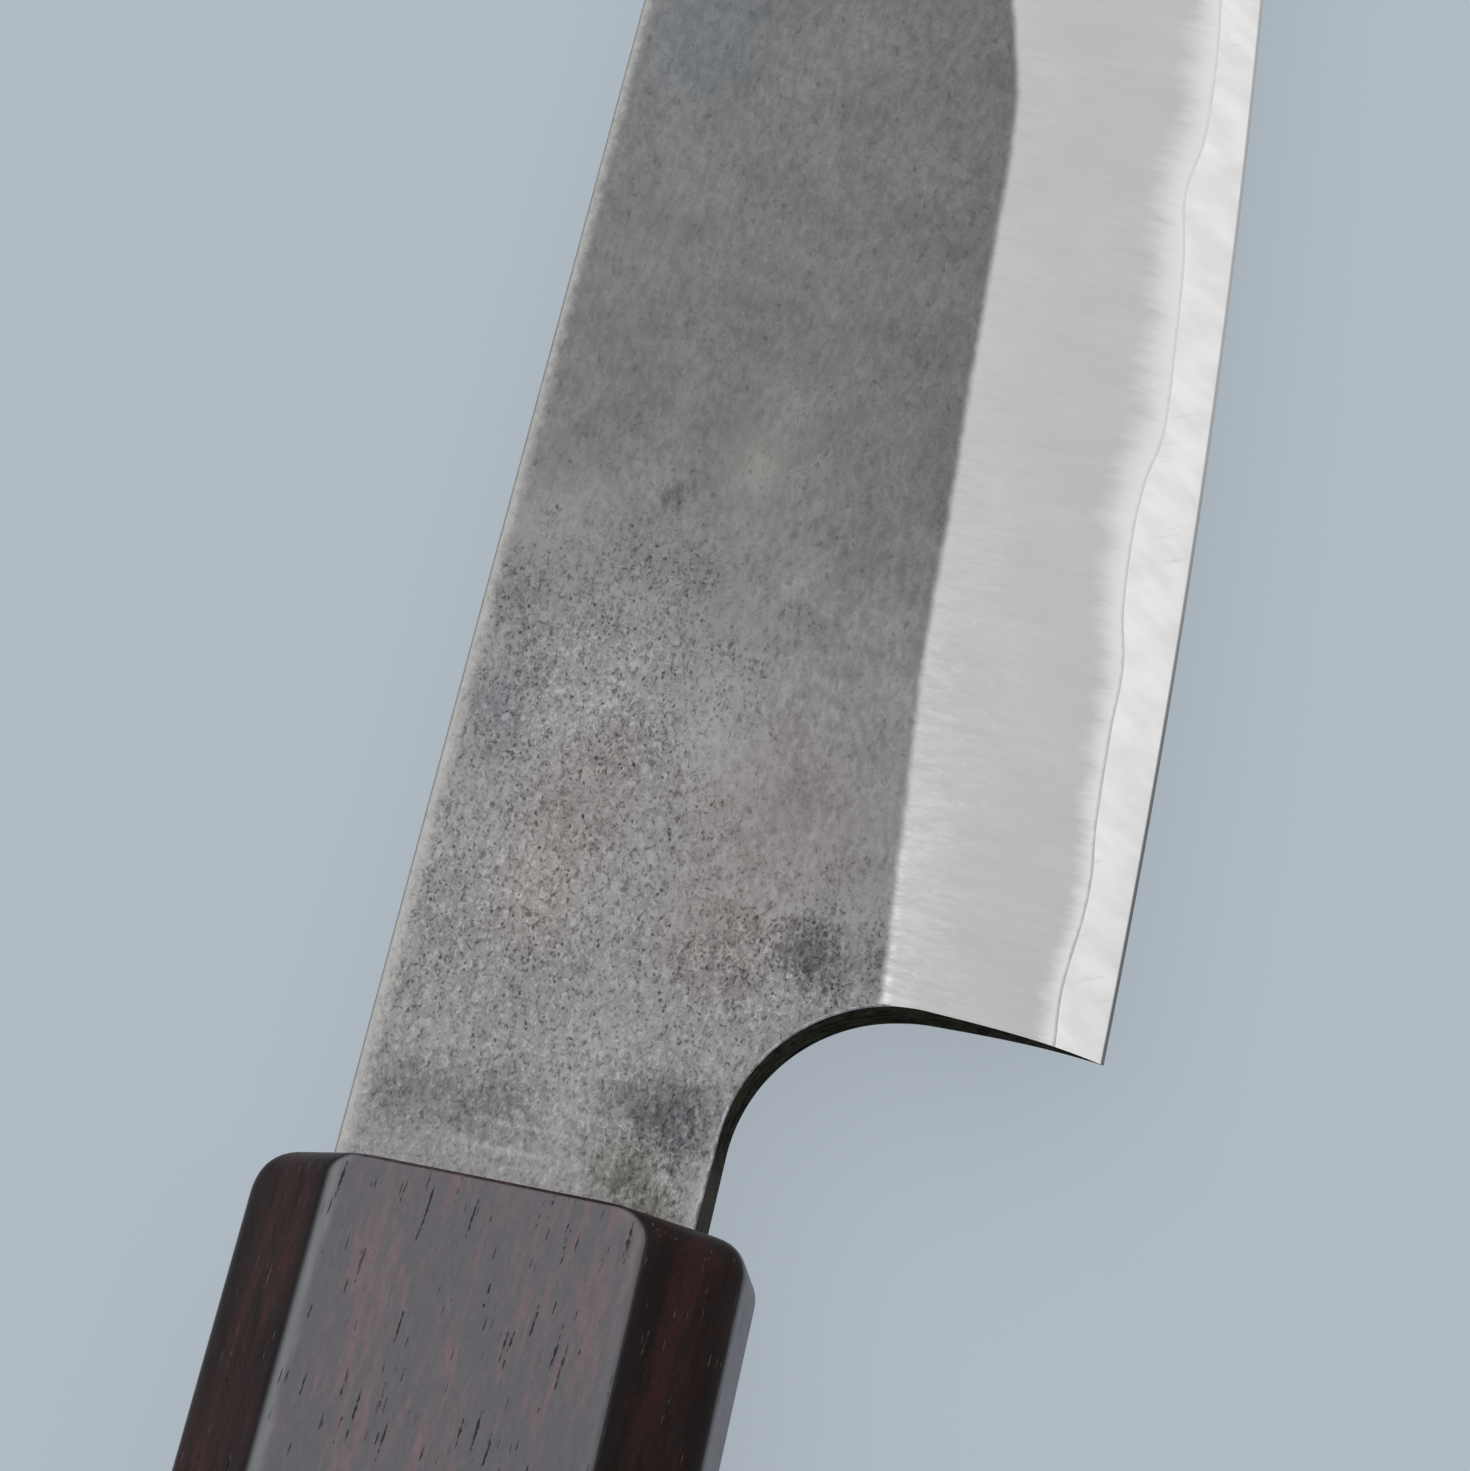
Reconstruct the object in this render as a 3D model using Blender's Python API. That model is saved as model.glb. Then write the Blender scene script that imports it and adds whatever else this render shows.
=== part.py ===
"""Petty knife: a three-layer blade with a hidden tang, in an octagonal wooden handle.

Metres, +Z up. The knife lies on its left side: +X points to the tip, +Y to the spine, and the right-hand
face of the blade looks up. The origin is the middle of the bounding box, on the surface it lies on.
Inside this script the knife's own frame has x = 0 at the front of the handle, y = 0 on the handle's
axis and z = 0 in the middle of the blade's thickness.
"""

import math

import bmesh
import bpy
from mathutils import Vector

# Blade, seen from its side
EDGE_LENGTH = 0.135
HEEL_HEIGHT = 0.030
BELLY_RISE = 0.019
BELLY_HOOK = 0.09
STRAIGHT_SPINE = 0.050
SPINE_CURVE = 2.1

# Blade, seen along its length
BLADE_THICKNESS = 0.0029
TIP_THICKNESS = 0.0012
CORE_THICKNESS = 0.0007
BEVEL_HEIGHT = 0.0104
TIP_BEVEL_HEIGHT = 0.0045
BEVEL_CONVEXITY = 0.88
SPINE_EASE = 0.0005

# Neck, choil and tang
SPINE_ABOVE_AXIS = 0.0079
NECK_HEIGHT = 0.0153
CHOIL_WIDTH = 0.0115
CHOIL_RADIUS = 0.0072
HEEL_LEAN = 0.0004
NECK_DEPTH = 0.0060
TANG_LENGTH = 0.080
TANG_HEIGHT = 0.0075
TANG_END_HEIGHT = 0.0045

# Handle
HANDLE_LENGTH = 0.118
HANDLE_WIDTH = 0.0156
HANDLE_FRONT_HEIGHT = 0.020
HANDLE_REAR_HEIGHT = 0.022
HANDLE_CHAMFER = 0.00375
FACET_EASE = 0.0006
FRONT_SIDE_ROUND = 0.0019
FRONT_SLOPE_ROUND = 0.0010
FRONT_FACE_ROUND = 0.0005
BUTT_ROUND = 0.0013
FERRULE_LENGTH = 0.026

# Inside the handle
DOWEL_DIAMETER = 0.011
DOWEL_LENGTH = 0.042
DOWEL_IN_FERRULE = 0.0165
TANG_HOLE_DIAMETER = 0.009
TANG_HOLE_BEYOND = 0.005
FIT = 0.0003

# Fineness of the solids
EDGE_STATIONS = 30
TIP_CROWDING = 1.4
BEVEL_SHARES = (1.0, 0.6, 0.28)
CHOIL_STEPS = 12
HEEL_STEPS = 4
ROUND_SIDES = 32
EASE_STEPS = 2
END_STEPS = 4

# Places that follow from the sizes
BUTT_X = -HANDLE_LENGTH
JOINT_X = -FERRULE_LENGTH
HEEL_X = CHOIL_WIDTH
TIP_X = HEEL_X + EDGE_LENGTH
SPINE_Y = SPINE_ABOVE_AXIS
NECK_Y = SPINE_Y - NECK_HEIGHT
EDGE_Y = SPINE_Y - HEEL_HEIGHT
DOWEL_FRONT_X = JOINT_X + DOWEL_IN_FERRULE
DOWEL_REAR_X = DOWEL_FRONT_X - DOWEL_LENGTH
TANG_HOLE_X = -TANG_LENGTH - TANG_HOLE_BEYOND

# Cutters reach this far past what they cut, and points this close are the same
CUTTER_MARGIN = 0.003
SAME_PLACE = 1e-6

# Colour, roughness and metallic value of each material
STEEL_CORE = ((0.66, 0.67, 0.68), 0.25, 1.0)
STEEL_CLADDING = ((0.22, 0.22, 0.23), 0.45, 0.9)
ROSEWOOD = ((0.055, 0.028, 0.024), 0.45, 0.0)
PALE_WOOD = ((0.45, 0.32, 0.19), 0.7, 0.0)
ADHESIVE = ((0.55, 0.48, 0.33), 0.35, 0.0)


def clear_scene():
    for obj in list(bpy.data.objects):
        bpy.data.objects.remove(obj, do_unlink=True)


def new_collection(name):
    collection = bpy.data.collections.new(name)
    bpy.context.scene.collection.children.link(collection)
    return collection


def material(name, look):
    """A Principled material from a colour, a roughness and a metallic value."""
    colour, roughness, metallic = look
    made = bpy.data.materials.new(name)
    made.use_nodes = True
    shader = made.node_tree.nodes["Principled BSDF"]
    shader.inputs["Base Color"].default_value = (*colour, 1.0)
    shader.inputs["Roughness"].default_value = roughness
    shader.inputs["Metallic"].default_value = metallic
    made.diffuse_color = (*colour, 1.0)
    return made


def object_from_bmesh(name, bm, collection, parent):
    """Makes an object of a closed bmesh, with its faces pointing outwards."""
    bmesh.ops.recalc_face_normals(bm, faces=bm.faces)
    if bm.calc_volume(signed=True) < 0:
        bmesh.ops.reverse_faces(bm, faces=bm.faces)
    mesh = bpy.data.meshes.new(name)
    bm.to_mesh(mesh)
    bm.free()
    obj = bpy.data.objects.new(name, mesh)
    collection.objects.link(obj)
    obj.parent = parent
    return obj


def as_cutter(obj):
    obj.hide_render = True
    obj.display_type = "WIRE"
    return obj


def boolean(obj, operation, other):
    modifier = obj.modifiers.new(f"{operation.lower()} {other.name}", "BOOLEAN")
    modifier.operation = operation
    modifier.solver = "EXACT"
    modifier.object = other


def box(name, low, high, collection, parent):
    bm = bmesh.new()
    bmesh.ops.create_cube(bm, size=1.0)
    size = [b - a for a, b in zip(low, high)]
    middle = [(a + b) / 2 for a, b in zip(low, high)]
    bmesh.ops.scale(bm, vec=size, verts=bm.verts)
    bmesh.ops.translate(bm, vec=middle, verts=bm.verts)
    return object_from_bmesh(name, bm, collection, parent)


def rod(name, x_rear, x_front, diameter, collection, parent):
    """A round bar on the handle's axis."""
    bm = bmesh.new()
    radius = diameter / 2
    bmesh.ops.create_cone(
        bm, cap_ends=True, segments=ROUND_SIDES, radius1=radius, radius2=radius, depth=x_front - x_rear
    )
    for vert in bm.verts:
        x, y, z = vert.co
        vert.co = (z + (x_front + x_rear) / 2, y, -x)
    obj = object_from_bmesh(name, bm, collection, parent)
    obj.data.shade_smooth()
    obj.data.set_sharp_from_angle(angle=math.radians(40))
    return obj


def plate(name, points, thickness, collection, parent):
    """A flat plate around z = 0 from its outline, as a mesh that a Boolean can use."""
    curve = bpy.data.curves.new(name, "CURVE")
    curve.dimensions = "2D"
    curve.fill_mode = "BOTH"
    curve.extrude = thickness / 2
    spline = curve.splines.new("POLY")
    spline.points.add(len(points) - 1)
    for point, (x, y) in zip(spline.points, points):
        point.co = (x, y, 0.0, 1.0)
    spline.use_cyclic_u = True
    drawn = bpy.data.objects.new(name + "_outline", curve)
    collection.objects.link(drawn)
    graph = bpy.context.evaluated_depsgraph_get()
    mesh = bpy.data.meshes.new_from_object(drawn.evaluated_get(graph))
    bpy.data.objects.remove(drawn, do_unlink=True)
    bm = bmesh.new()
    bm.from_mesh(mesh)
    bpy.data.meshes.remove(mesh)
    bmesh.ops.remove_doubles(bm, verts=bm.verts, dist=SAME_PLACE)
    return object_from_bmesh(name, bm, collection, parent)


def skin(bm, rings):
    """Joins rings of points by a skin that is open at both ends, and returns the rings' vertices."""
    loops = [[bm.verts.new(point) for point in ring] for ring in rings]
    count = len(loops[0])
    for near, far in zip(loops, loops[1:]):
        for index in range(count):
            after = (index + 1) % count
            bm.faces.new((near[index], near[after], far[after], far[index]))
    return loops


def edge_y(ahead):
    """Height of the cutting edge, at a distance ahead of the heel."""
    share = max(ahead, 0.0) / EDGE_LENGTH
    return EDGE_Y + BELLY_RISE * ((1 - BELLY_HOOK) * share**2 + BELLY_HOOK * share**8)


def spine_y(ahead):
    """Height of the spine: straight at first, then falling to meet the edge at the tip."""
    share = max(ahead - STRAIGHT_SPINE, 0.0) / (EDGE_LENGTH - STRAIGHT_SPINE)
    return SPINE_Y - (HEEL_HEIGHT - BELLY_RISE) * share**SPINE_CURVE


def bevel_height(ahead):
    """Height of the ground bevel above the edge. It narrows towards the tip."""
    share = max(ahead, 0.0) / EDGE_LENGTH
    return BEVEL_HEIGHT + (TIP_BEVEL_HEIGHT - BEVEL_HEIGHT) * share**3


def half_thickness(ahead, above_edge):
    """Half the blade's thickness, at a distance ahead of the heel and a height above the edge."""
    share = max(ahead, 0.0) / EDGE_LENGTH
    full = BLADE_THICKNESS + (TIP_THICKNESS - BLADE_THICKNESS) * share
    return full / 2 * min(1.0, above_edge / bevel_height(ahead)) ** BEVEL_CONVEXITY


def blade_section(ahead):
    """The closed outline of the ground blade across one station, as (y, z) points.

    Near the tip the bevel takes the whole height, and the eased corners of the spine shrink with it.
    """
    low = edge_y(ahead)
    height = spine_y(ahead) - low
    top = half_thickness(ahead, height)
    ease = min(SPINE_EASE, top / 2, height / 6)
    shoulder = min(bevel_height(ahead), height - 2 * ease)
    side = [(low + height, top - ease), (low + height - ease, half_thickness(ahead, height - ease))]
    for share in BEVEL_SHARES:
        side.append((low + share * shoulder, half_thickness(ahead, share * shoulder)))
    return [*side, (low, 0.0), *[(y, -z) for y, z in reversed(side)]]


def ground_form(collection, parent):
    """The shape that grinding gives the blade, longer than the tang at its rear."""
    rear = -TANG_LENGTH - CUTTER_MARGIN - HEEL_X
    shares = [1 - (1 - step / EDGE_STATIONS) ** TIP_CROWDING for step in range(EDGE_STATIONS)]
    stations = [rear, *[share * EDGE_LENGTH for share in shares]]
    bm = bmesh.new()
    loops = skin(bm, [[(HEEL_X + ahead, y, z) for y, z in blade_section(ahead)] for ahead in stations])
    bm.faces.new(loops[0])
    last = loops[-1]
    tip = bm.verts.new((TIP_X, edge_y(EDGE_LENGTH), 0.0))
    for index, vert in enumerate(last):
        bm.faces.new((vert, last[(index + 1) % len(last)], tip))
    return as_cutter(object_from_bmesh("ground_form", bm, collection, parent))


def tang_outline(grown, front_x, neck_high, neck_low):
    """Outline of the tang and the part of the neck inside the handle, grown on every side."""
    shoulder = -NECK_DEPTH - grown
    end = -TANG_LENGTH - grown
    root = TANG_HEIGHT / 2 + grown
    last = TANG_END_HEIGHT / 2 + grown
    upper = [(front_x, neck_high), (shoulder, neck_high), (shoulder, root), (end, last)]
    lower = [(end, -last), (shoulder, -root), (shoulder, neck_low), (front_x, neck_low)]
    return upper + lower


def choil_outline():
    """The hollow between neck and heel: round under the neck, then a wall that leans back at the heel."""
    middle_x = HEEL_X - CHOIL_RADIUS
    middle_y = NECK_Y - CHOIL_RADIUS
    points = []
    for step in range(CHOIL_STEPS + 1):
        turn = math.radians(90) * (1 - step / CHOIL_STEPS)
        points.append((middle_x + CHOIL_RADIUS * math.cos(turn), middle_y + CHOIL_RADIUS * math.sin(turn)))
    wall = middle_y - EDGE_Y
    for step in range(1, HEEL_STEPS + 1):
        share = step / HEEL_STEPS
        points.append((HEEL_X - HEEL_LEAN * share**3, middle_y - wall * share))
    return points


def blank_outline():
    """The forged blank in plan: tang, neck and choil as they are, blade larger than the ground form."""
    far_x = TIP_X + CUTTER_MARGIN
    above = SPINE_Y + CUTTER_MARGIN
    below = EDGE_Y - CUTTER_MARGIN
    stub = tang_outline(0.0, 0.0, above, NECK_Y)
    heel = choil_outline()
    return [(far_x, above), *stub[1:-1], *heel, (heel[-1][0], below), (far_x, below)]


def blade(parts, cutters, parent):
    """Core and claddings: one ground blank, parted at the two faces of the core."""
    ground = ground_form(cutters, parent)
    reach = (-TANG_LENGTH - 2 * CUTTER_MARGIN, TIP_X + 2 * CUTTER_MARGIN)
    low_y = EDGE_Y - 2 * CUTTER_MARGIN
    high_y = SPINE_Y + 2 * CUTTER_MARGIN
    core_half = CORE_THICKNESS / 2
    core_slab = as_cutter(
        box("core_slab", (reach[0], low_y, -core_half), (reach[1], high_y, core_half), cutters, parent)
    )
    outline = blank_outline()
    depth = BLADE_THICKNESS + 2 * CUTTER_MARGIN
    core = plate("blade_core", outline, depth, parts, parent)
    boolean(core, "INTERSECT", ground)
    boolean(core, "INTERSECT", core_slab)
    core.data.materials.append(material("core steel", STEEL_CORE))
    for side, low_z, high_z in (("right", 0.0, depth), ("left", -depth, 0.0)):
        half = as_cutter(
            box(f"{side}_side", (reach[0], low_y, low_z), (reach[1], high_y, high_z), cutters, parent)
        )
        cladding = plate(f"cladding_{side}", outline, depth, parts, parent)
        boolean(cladding, "INTERSECT", ground)
        boolean(cladding, "DIFFERENCE", core_slab)
        boolean(cladding, "INTERSECT", half)
        cladding.data.materials.append(material(f"{side} cladding steel", STEEL_CLADDING))


def handle_height(x):
    share = x / BUTT_X
    return HANDLE_FRONT_HEIGHT + (HANDLE_REAR_HEIGHT - HANDLE_FRONT_HEIGHT) * share


def round_inset(depth, radius):
    """How far a rounded edge stands back from its face, at a depth behind the end of the handle."""
    short = max(radius - depth, 0.0)
    return radius - math.sqrt(radius**2 - short**2)


def end_depths(radius):
    """Depths behind an end at which its largest round gets a ring."""
    turns = [math.radians(90) * step / END_STEPS for step in range(END_STEPS + 1)]
    return [radius * (1 - math.cos(turn)) for turn in turns]


def eased(corners):
    """The outline with each corner drawn as a short curve between points on its two sides."""
    points = []
    for index, corner in enumerate(corners):
        middle = Vector(corner)
        before = Vector(corners[index - 1]) - middle
        after = Vector(corners[(index + 1) % len(corners)]) - middle
        start = middle + before.normalized() * FACET_EASE
        end = middle + after.normalized() * FACET_EASE
        for step in range(EASE_STEPS + 1):
            share = step / EASE_STEPS
            points.append(start * (1 - share) ** 2 + middle * 2 * share * (1 - share) + end * share**2)
    return points


def octagon(x):
    """The handle's section as (y, z) points. At both ends its faces draw in, each by its own round."""
    behind = -x
    before = x - BUTT_X
    butt_inset = round_inset(before, BUTT_ROUND)
    side = handle_height(x) / 2 - round_inset(behind, FRONT_SIDE_ROUND) - butt_inset
    face = HANDLE_WIDTH / 2 - round_inset(behind, FRONT_FACE_ROUND) - butt_inset
    slope_inset = round_inset(behind, FRONT_SLOPE_ROUND) + butt_inset
    slope = handle_height(x) / 2 + HANDLE_WIDTH / 2 - HANDLE_CHAMFER - math.sqrt(2) * slope_inset
    upper = [(side, slope - side), (slope - face, face), (face - slope, face), (-side, slope - side)]
    return eased(upper + [(y, -z) for y, z in reversed(upper)])


def octagon_bar(name, collection, parent):
    """The whole handle as one tapered octagonal bar, with its facets eased and both ends rounded."""
    front = [-depth for depth in end_depths(FRONT_SIDE_ROUND)]
    butt = [BUTT_X + depth for depth in end_depths(BUTT_ROUND)]
    bm = bmesh.new()
    loops = skin(bm, [[(x, y, z) for y, z in octagon(x)] for x in [*front, *reversed(butt)]])
    bm.faces.new(loops[0])
    bm.faces.new(loops[-1])
    return object_from_bmesh(name, bm, collection, parent)


def handle(parts, cutters, parent):
    """Ferrule and handle body, parted from one octagonal bar, with the holes that they share."""
    wide = HANDLE_REAR_HEIGHT
    ferrule_side = as_cutter(
        box("ferrule_side", (JOINT_X, -wide, -wide), (CUTTER_MARGIN, wide, wide), cutters, parent)
    )
    body_side = as_cutter(
        box(
            "body_side",
            (BUTT_X - CUTTER_MARGIN, -wide, -wide),
            (JOINT_X - FIT, wide, wide),
            cutters,
            parent,
        )
    )
    mouth = tang_outline(FIT, CUTTER_MARGIN, SPINE_Y + FIT, NECK_Y - FIT)
    tang_recess = as_cutter(plate("tang_recess", mouth, BLADE_THICKNESS + 2 * FIT, cutters, parent))
    dowel_bore = as_cutter(
        rod("dowel_bore", DOWEL_REAR_X - FIT, DOWEL_FRONT_X + FIT, DOWEL_DIAMETER + 2 * FIT, cutters, parent)
    )
    tang_hole = as_cutter(
        rod("tang_hole", TANG_HOLE_X, DOWEL_FRONT_X, TANG_HOLE_DIAMETER, cutters, parent)
    )

    ferrule = octagon_bar("ferrule", parts, parent)
    boolean(ferrule, "INTERSECT", ferrule_side)
    boolean(ferrule, "DIFFERENCE", dowel_bore)
    boolean(ferrule, "DIFFERENCE", tang_recess)
    ferrule.data.materials.append(material("ferrule rosewood", ROSEWOOD))

    body = octagon_bar("handle_body", parts, parent)
    boolean(body, "INTERSECT", body_side)
    boolean(body, "DIFFERENCE", tang_hole)
    boolean(body, "DIFFERENCE", dowel_bore)
    body.data.materials.append(material("body rosewood", ROSEWOOD))

    dowel = rod("handle_dowel", DOWEL_REAR_X, DOWEL_FRONT_X, DOWEL_DIAMETER, parts, parent)
    boolean(dowel, "DIFFERENCE", tang_recess)
    dowel.data.materials.append(material("pale hardwood", PALE_WOOD))

    plug = rod(
        "tang_adhesive",
        TANG_HOLE_X + FIT,
        DOWEL_REAR_X - FIT,
        TANG_HOLE_DIAMETER - 2 * FIT,
        parts,
        parent,
    )
    boolean(plug, "DIFFERENCE", tang_recess)
    plug.data.materials.append(material("adhesive", ADHESIVE))


def main():
    clear_scene()
    parts = new_collection("petty_knife")
    cutters = new_collection("cutters")
    knife = bpy.data.objects.new("knife_frame", None)
    knife.location = (
        -(TIP_X + BUTT_X) / 2,
        -(EDGE_Y + HANDLE_REAR_HEIGHT / 2) / 2,
        HANDLE_WIDTH / 2,
    )
    parts.objects.link(knife)
    blade(parts, cutters, knife)
    handle(parts, cutters, knife)


main()
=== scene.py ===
"""Looks of the petty knife: fine meshes and finishes for blade and handle, and a plain studio.

Metres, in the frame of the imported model. The knife's own frame, in which the meshes are drawn, has
x = 0 at the front of the handle, y = 0 on the handle's axis, with +y towards the spine, and z = 0 in the
middle of the blade's thickness, with +z out of the right-hand face.
"""

import math

import bmesh
import bpy
from mathutils import Matrix, Vector


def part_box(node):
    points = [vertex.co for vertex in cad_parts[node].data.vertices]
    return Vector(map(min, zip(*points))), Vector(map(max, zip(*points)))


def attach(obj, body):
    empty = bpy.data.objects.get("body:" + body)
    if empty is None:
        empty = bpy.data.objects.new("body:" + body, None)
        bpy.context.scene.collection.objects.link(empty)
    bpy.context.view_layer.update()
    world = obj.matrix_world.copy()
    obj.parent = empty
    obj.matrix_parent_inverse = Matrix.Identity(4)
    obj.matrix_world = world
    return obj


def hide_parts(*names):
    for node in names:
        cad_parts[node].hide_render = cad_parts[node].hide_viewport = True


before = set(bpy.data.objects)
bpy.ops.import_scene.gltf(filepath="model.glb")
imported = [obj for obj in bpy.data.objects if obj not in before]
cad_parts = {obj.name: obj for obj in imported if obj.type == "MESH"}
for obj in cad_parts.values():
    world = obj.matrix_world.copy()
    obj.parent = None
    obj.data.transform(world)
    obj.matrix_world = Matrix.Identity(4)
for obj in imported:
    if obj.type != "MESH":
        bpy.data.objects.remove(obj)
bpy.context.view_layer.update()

MM = 0.001

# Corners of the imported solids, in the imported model's frame
FERRULE_LOW, FERRULE_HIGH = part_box("ferrule")
BODY_LOW, BODY_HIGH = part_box("handle_body")
CORE_LOW, CORE_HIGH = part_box("blade_core")
CLADDING_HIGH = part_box("cladding_right")[1]
DOWEL_LOW, DOWEL_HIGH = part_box("handle_dowel")
PLUG_LOW, PLUG_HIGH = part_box("tang_adhesive")

# The origin of the knife's own frame, and what the solids give in that frame
ORIGIN = Vector((FERRULE_HIGH.x, (FERRULE_LOW.y + FERRULE_HIGH.y) / 2, (BODY_LOW.z + BODY_HIGH.z) / 2))
TIP_X = CORE_HIGH.x - ORIGIN.x
TANG_END_X = CORE_LOW.x - ORIGIN.x
BUTT_X = BODY_LOW.x - ORIGIN.x
JOINT_X = FERRULE_LOW.x - ORIGIN.x
SPINE_Y = CORE_HIGH.y - ORIGIN.y
EDGE_Y = CORE_LOW.y - ORIGIN.y
BLADE_THICKNESS = 2 * (CLADDING_HIGH.z - ORIGIN.z)
HANDLE_WIDTH = BODY_HIGH.z - BODY_LOW.z
HANDLE_REAR_HEIGHT = BODY_HIGH.y - BODY_LOW.y
DOWEL_DIAMETER = DOWEL_HIGH.z - DOWEL_LOW.z
DOWEL_FRONT_X = DOWEL_HIGH.x - ORIGIN.x
DOWEL_REAR_X = DOWEL_LOW.x - ORIGIN.x
TANG_HOLE_DIAMETER = PLUG_HIGH.z - PLUG_LOW.z
TANG_HOLE_X = PLUG_LOW.x - ORIGIN.x

# Blade, seen from its side
CHOIL_WIDTH = 11.5 * MM
CHOIL_RADIUS = 7.2 * MM
NECK_HEIGHT = 15.3 * MM
HEEL_LEAN = 0.4 * MM
NECK_DEPTH = 6.0 * MM
TANG_HEIGHT = 7.5 * MM
TANG_END_HEIGHT = 4.5 * MM
BELLY_RISE = 19.0 * MM
BELLY_HOOK = 0.09
BELLY_HOOK_POWER = 8
STRAIGHT_SPINE = 50.0 * MM
SPINE_CURVE = 2.1
NECK_Y = SPINE_Y - NECK_HEIGHT
HEEL_X = CHOIL_WIDTH
EDGE_LENGTH = TIP_X - HEEL_X

# Blade, across its thickness
TIP_THICKNESS = 1.2 * MM
BEVEL_CONVEXITY = 0.88
SPINE_EASE = 0.12 * MM
CHOIL_EASE = 0.11 * MM
CHOIL_SLANT_X = -0.08 * MM
CHOIL_SLANT_Y = -0.22 * MM
NECK_LEAN = 0.29 * MM

# Near the tip: the greatest heights of cladding's line and bevel's top, as shares of the blade's height,
# and the greatest ease of the spine, as a share of the cladding's thickness and by parts of the height
LINE_SHARE = 0.4
SHOULDER_SHARE = 0.9
EASE_SHARE = 0.8
EASE_PARTS = 6

# Height above the edge, in millimetres, at a distance ahead of the heel: the top of the bevel, and the
# line where the cladding ends
SHINOGI = (
    (0, 9.3), (5, 9.75), (10, 10.15), (15, 10.5), (22, 10.55), (30, 10.6), (37, 10.45), (42, 10.45),
    (45, 10.9), (48, 11.35), (54, 11.0), (62, 10.3), (70, 10.5), (80, 9.9), (92, 9.0), (104, 8.3),
    (116, 6.8), (128, 5.1), (135, 4.5),
)
CLADDING_LINE = (
    (0, 2.1), (2.3, 2.25), (5.7, 1.95), (7.5, 1.95), (9.3, 2.15), (13.7, 2.25), (16.7, 2.2), (19.2, 2.6),
    (23.1, 2.7), (25.4, 2.5), (27.5, 2.05), (32.7, 2.1), (35.9, 2.2), (39.3, 2.5), (42, 1.95),
    (46.8, 1.8), (50, 1.95), (55, 2.35), (61, 2.0), (69, 2.4), (76, 2.0), (84, 2.3), (95, 1.8),
    (104, 2.05), (115, 1.6), (125, 1.5), (135, 1.0),
)

# Handle. At its front the halves differ a little, by half height and by the rounds of side and slope.
HANDLE_CHAMFER = 3.75 * MM
SPINE_HALF = (10.27 * MM, 1.9 * MM, 1.0 * MM)
EDGE_HALF = (9.96 * MM, 1.5 * MM, 1.3 * MM)
FRONT_FACE_ROUND = 0.22 * MM
FRONT_DEPTH = 1.9 * MM
BUTT_ROUND = 1.3 * MM
FACET_EASE = 0.5 * MM
RIDGE_HOLD = 0.35 * MM
FACE_HOLD = 0.15 * MM
FRONT_TILT = 0.022
FRONT_TILT_DEPTH = 8.0 * MM
JOINT_GAP = 0.04 * MM
MOUTH_FIT = 0.06 * MM
BORE_FIT = 0.3 * MM

# How far rough forms and cutters reach past what they cut
MARGIN = 3.0 * MM

# Fineness of the meshes. Rows are shares of the way from one line on the blade to the next.
BLADE_STATIONS = 280
TIP_CROWDING = 1.4
NECK_STEP = 1.0 * MM
SPINE_STEPS = 6
FLAT_ROWS = (0.04, 0.15, 0.3, 0.45, 0.6, 0.75, 0.88, 0.97, 0.992, 1.0)
BEVEL_ROWS = (0.012, 0.04, 0.1, 0.2, 0.3, 0.4, 0.5, 0.6, 0.7, 0.8, 0.9, 0.96, 1.0)
CORE_ROWS = (0.97, 0.85, 0.7, 0.55, 0.4, 0.25, 0.12, 0.06)
CHOIL_STEPS = 60
HEEL_STEPS = 16
ROUND_STEPS = 4
FACET_STEPS = 6
CORNER_POINTS = FACET_STEPS + 3
END_STEPS = 12
ROUND_SIDES = 64

# What tells faces apart: an angle, parts of a normal, and distances from the handle's ends
SMOOTH_ANGLE = math.radians(32)
SPINE_NORMAL = 0.2
WALL_NORMAL = 0.35
RIM_NORMAL = 0.955
LEAST_NORMAL = 0.001
SLOPE_SQUARENESS = 0.86
BROAD_SQUARENESS = 0.97
FRONT_FADE = 0.12 * MM
BUTT_FADE = 0.5 * MM


def through(points, place):
    """A smooth curve through (place, value) points. Beyond its ends it stays level."""
    if place <= points[0][0]:
        return points[0][1]
    if place >= points[-1][0]:
        return points[-1][1]
    index = max(i for i, point in enumerate(points) if point[0] <= place)
    (x0, y0), (x1, y1) = points[index], points[index + 1]
    before = points[max(index - 1, 0)]
    after = points[min(index + 2, len(points) - 1)]
    start = (y1 - before[1]) / (x1 - before[0])
    end = (after[1] - y0) / (after[0] - x0)
    run = x1 - x0
    t = (place - x0) / run
    return (
        y0 * (2 * t**3 - 3 * t**2 + 1)
        + start * run * (t**3 - 2 * t**2 + t)
        + y1 * (3 * t**2 - 2 * t**3)
        + end * run * (t**3 - t**2)
    )


def edge_y(ahead):
    share = max(ahead, 0.0) / EDGE_LENGTH
    return EDGE_Y + BELLY_RISE * ((1 - BELLY_HOOK) * share**2 + BELLY_HOOK * share**BELLY_HOOK_POWER)


def spine_y(ahead):
    share = max(ahead - STRAIGHT_SPINE, 0.0) / (EDGE_LENGTH - STRAIGHT_SPINE)
    return SPINE_Y - (SPINE_Y - EDGE_Y - BELLY_RISE) * share**SPINE_CURVE


def shinogi(ahead):
    """Height of the bevel's top above the edge."""
    return through(SHINOGI, ahead / MM) * MM


def cladding_line(ahead):
    """Height of the cladding's lower end above the edge. Near the tip it falls with the blade."""
    height = spine_y(ahead) - edge_y(ahead)
    return min(through(CLADDING_LINE, ahead / MM) * MM, LINE_SHARE * height)


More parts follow.
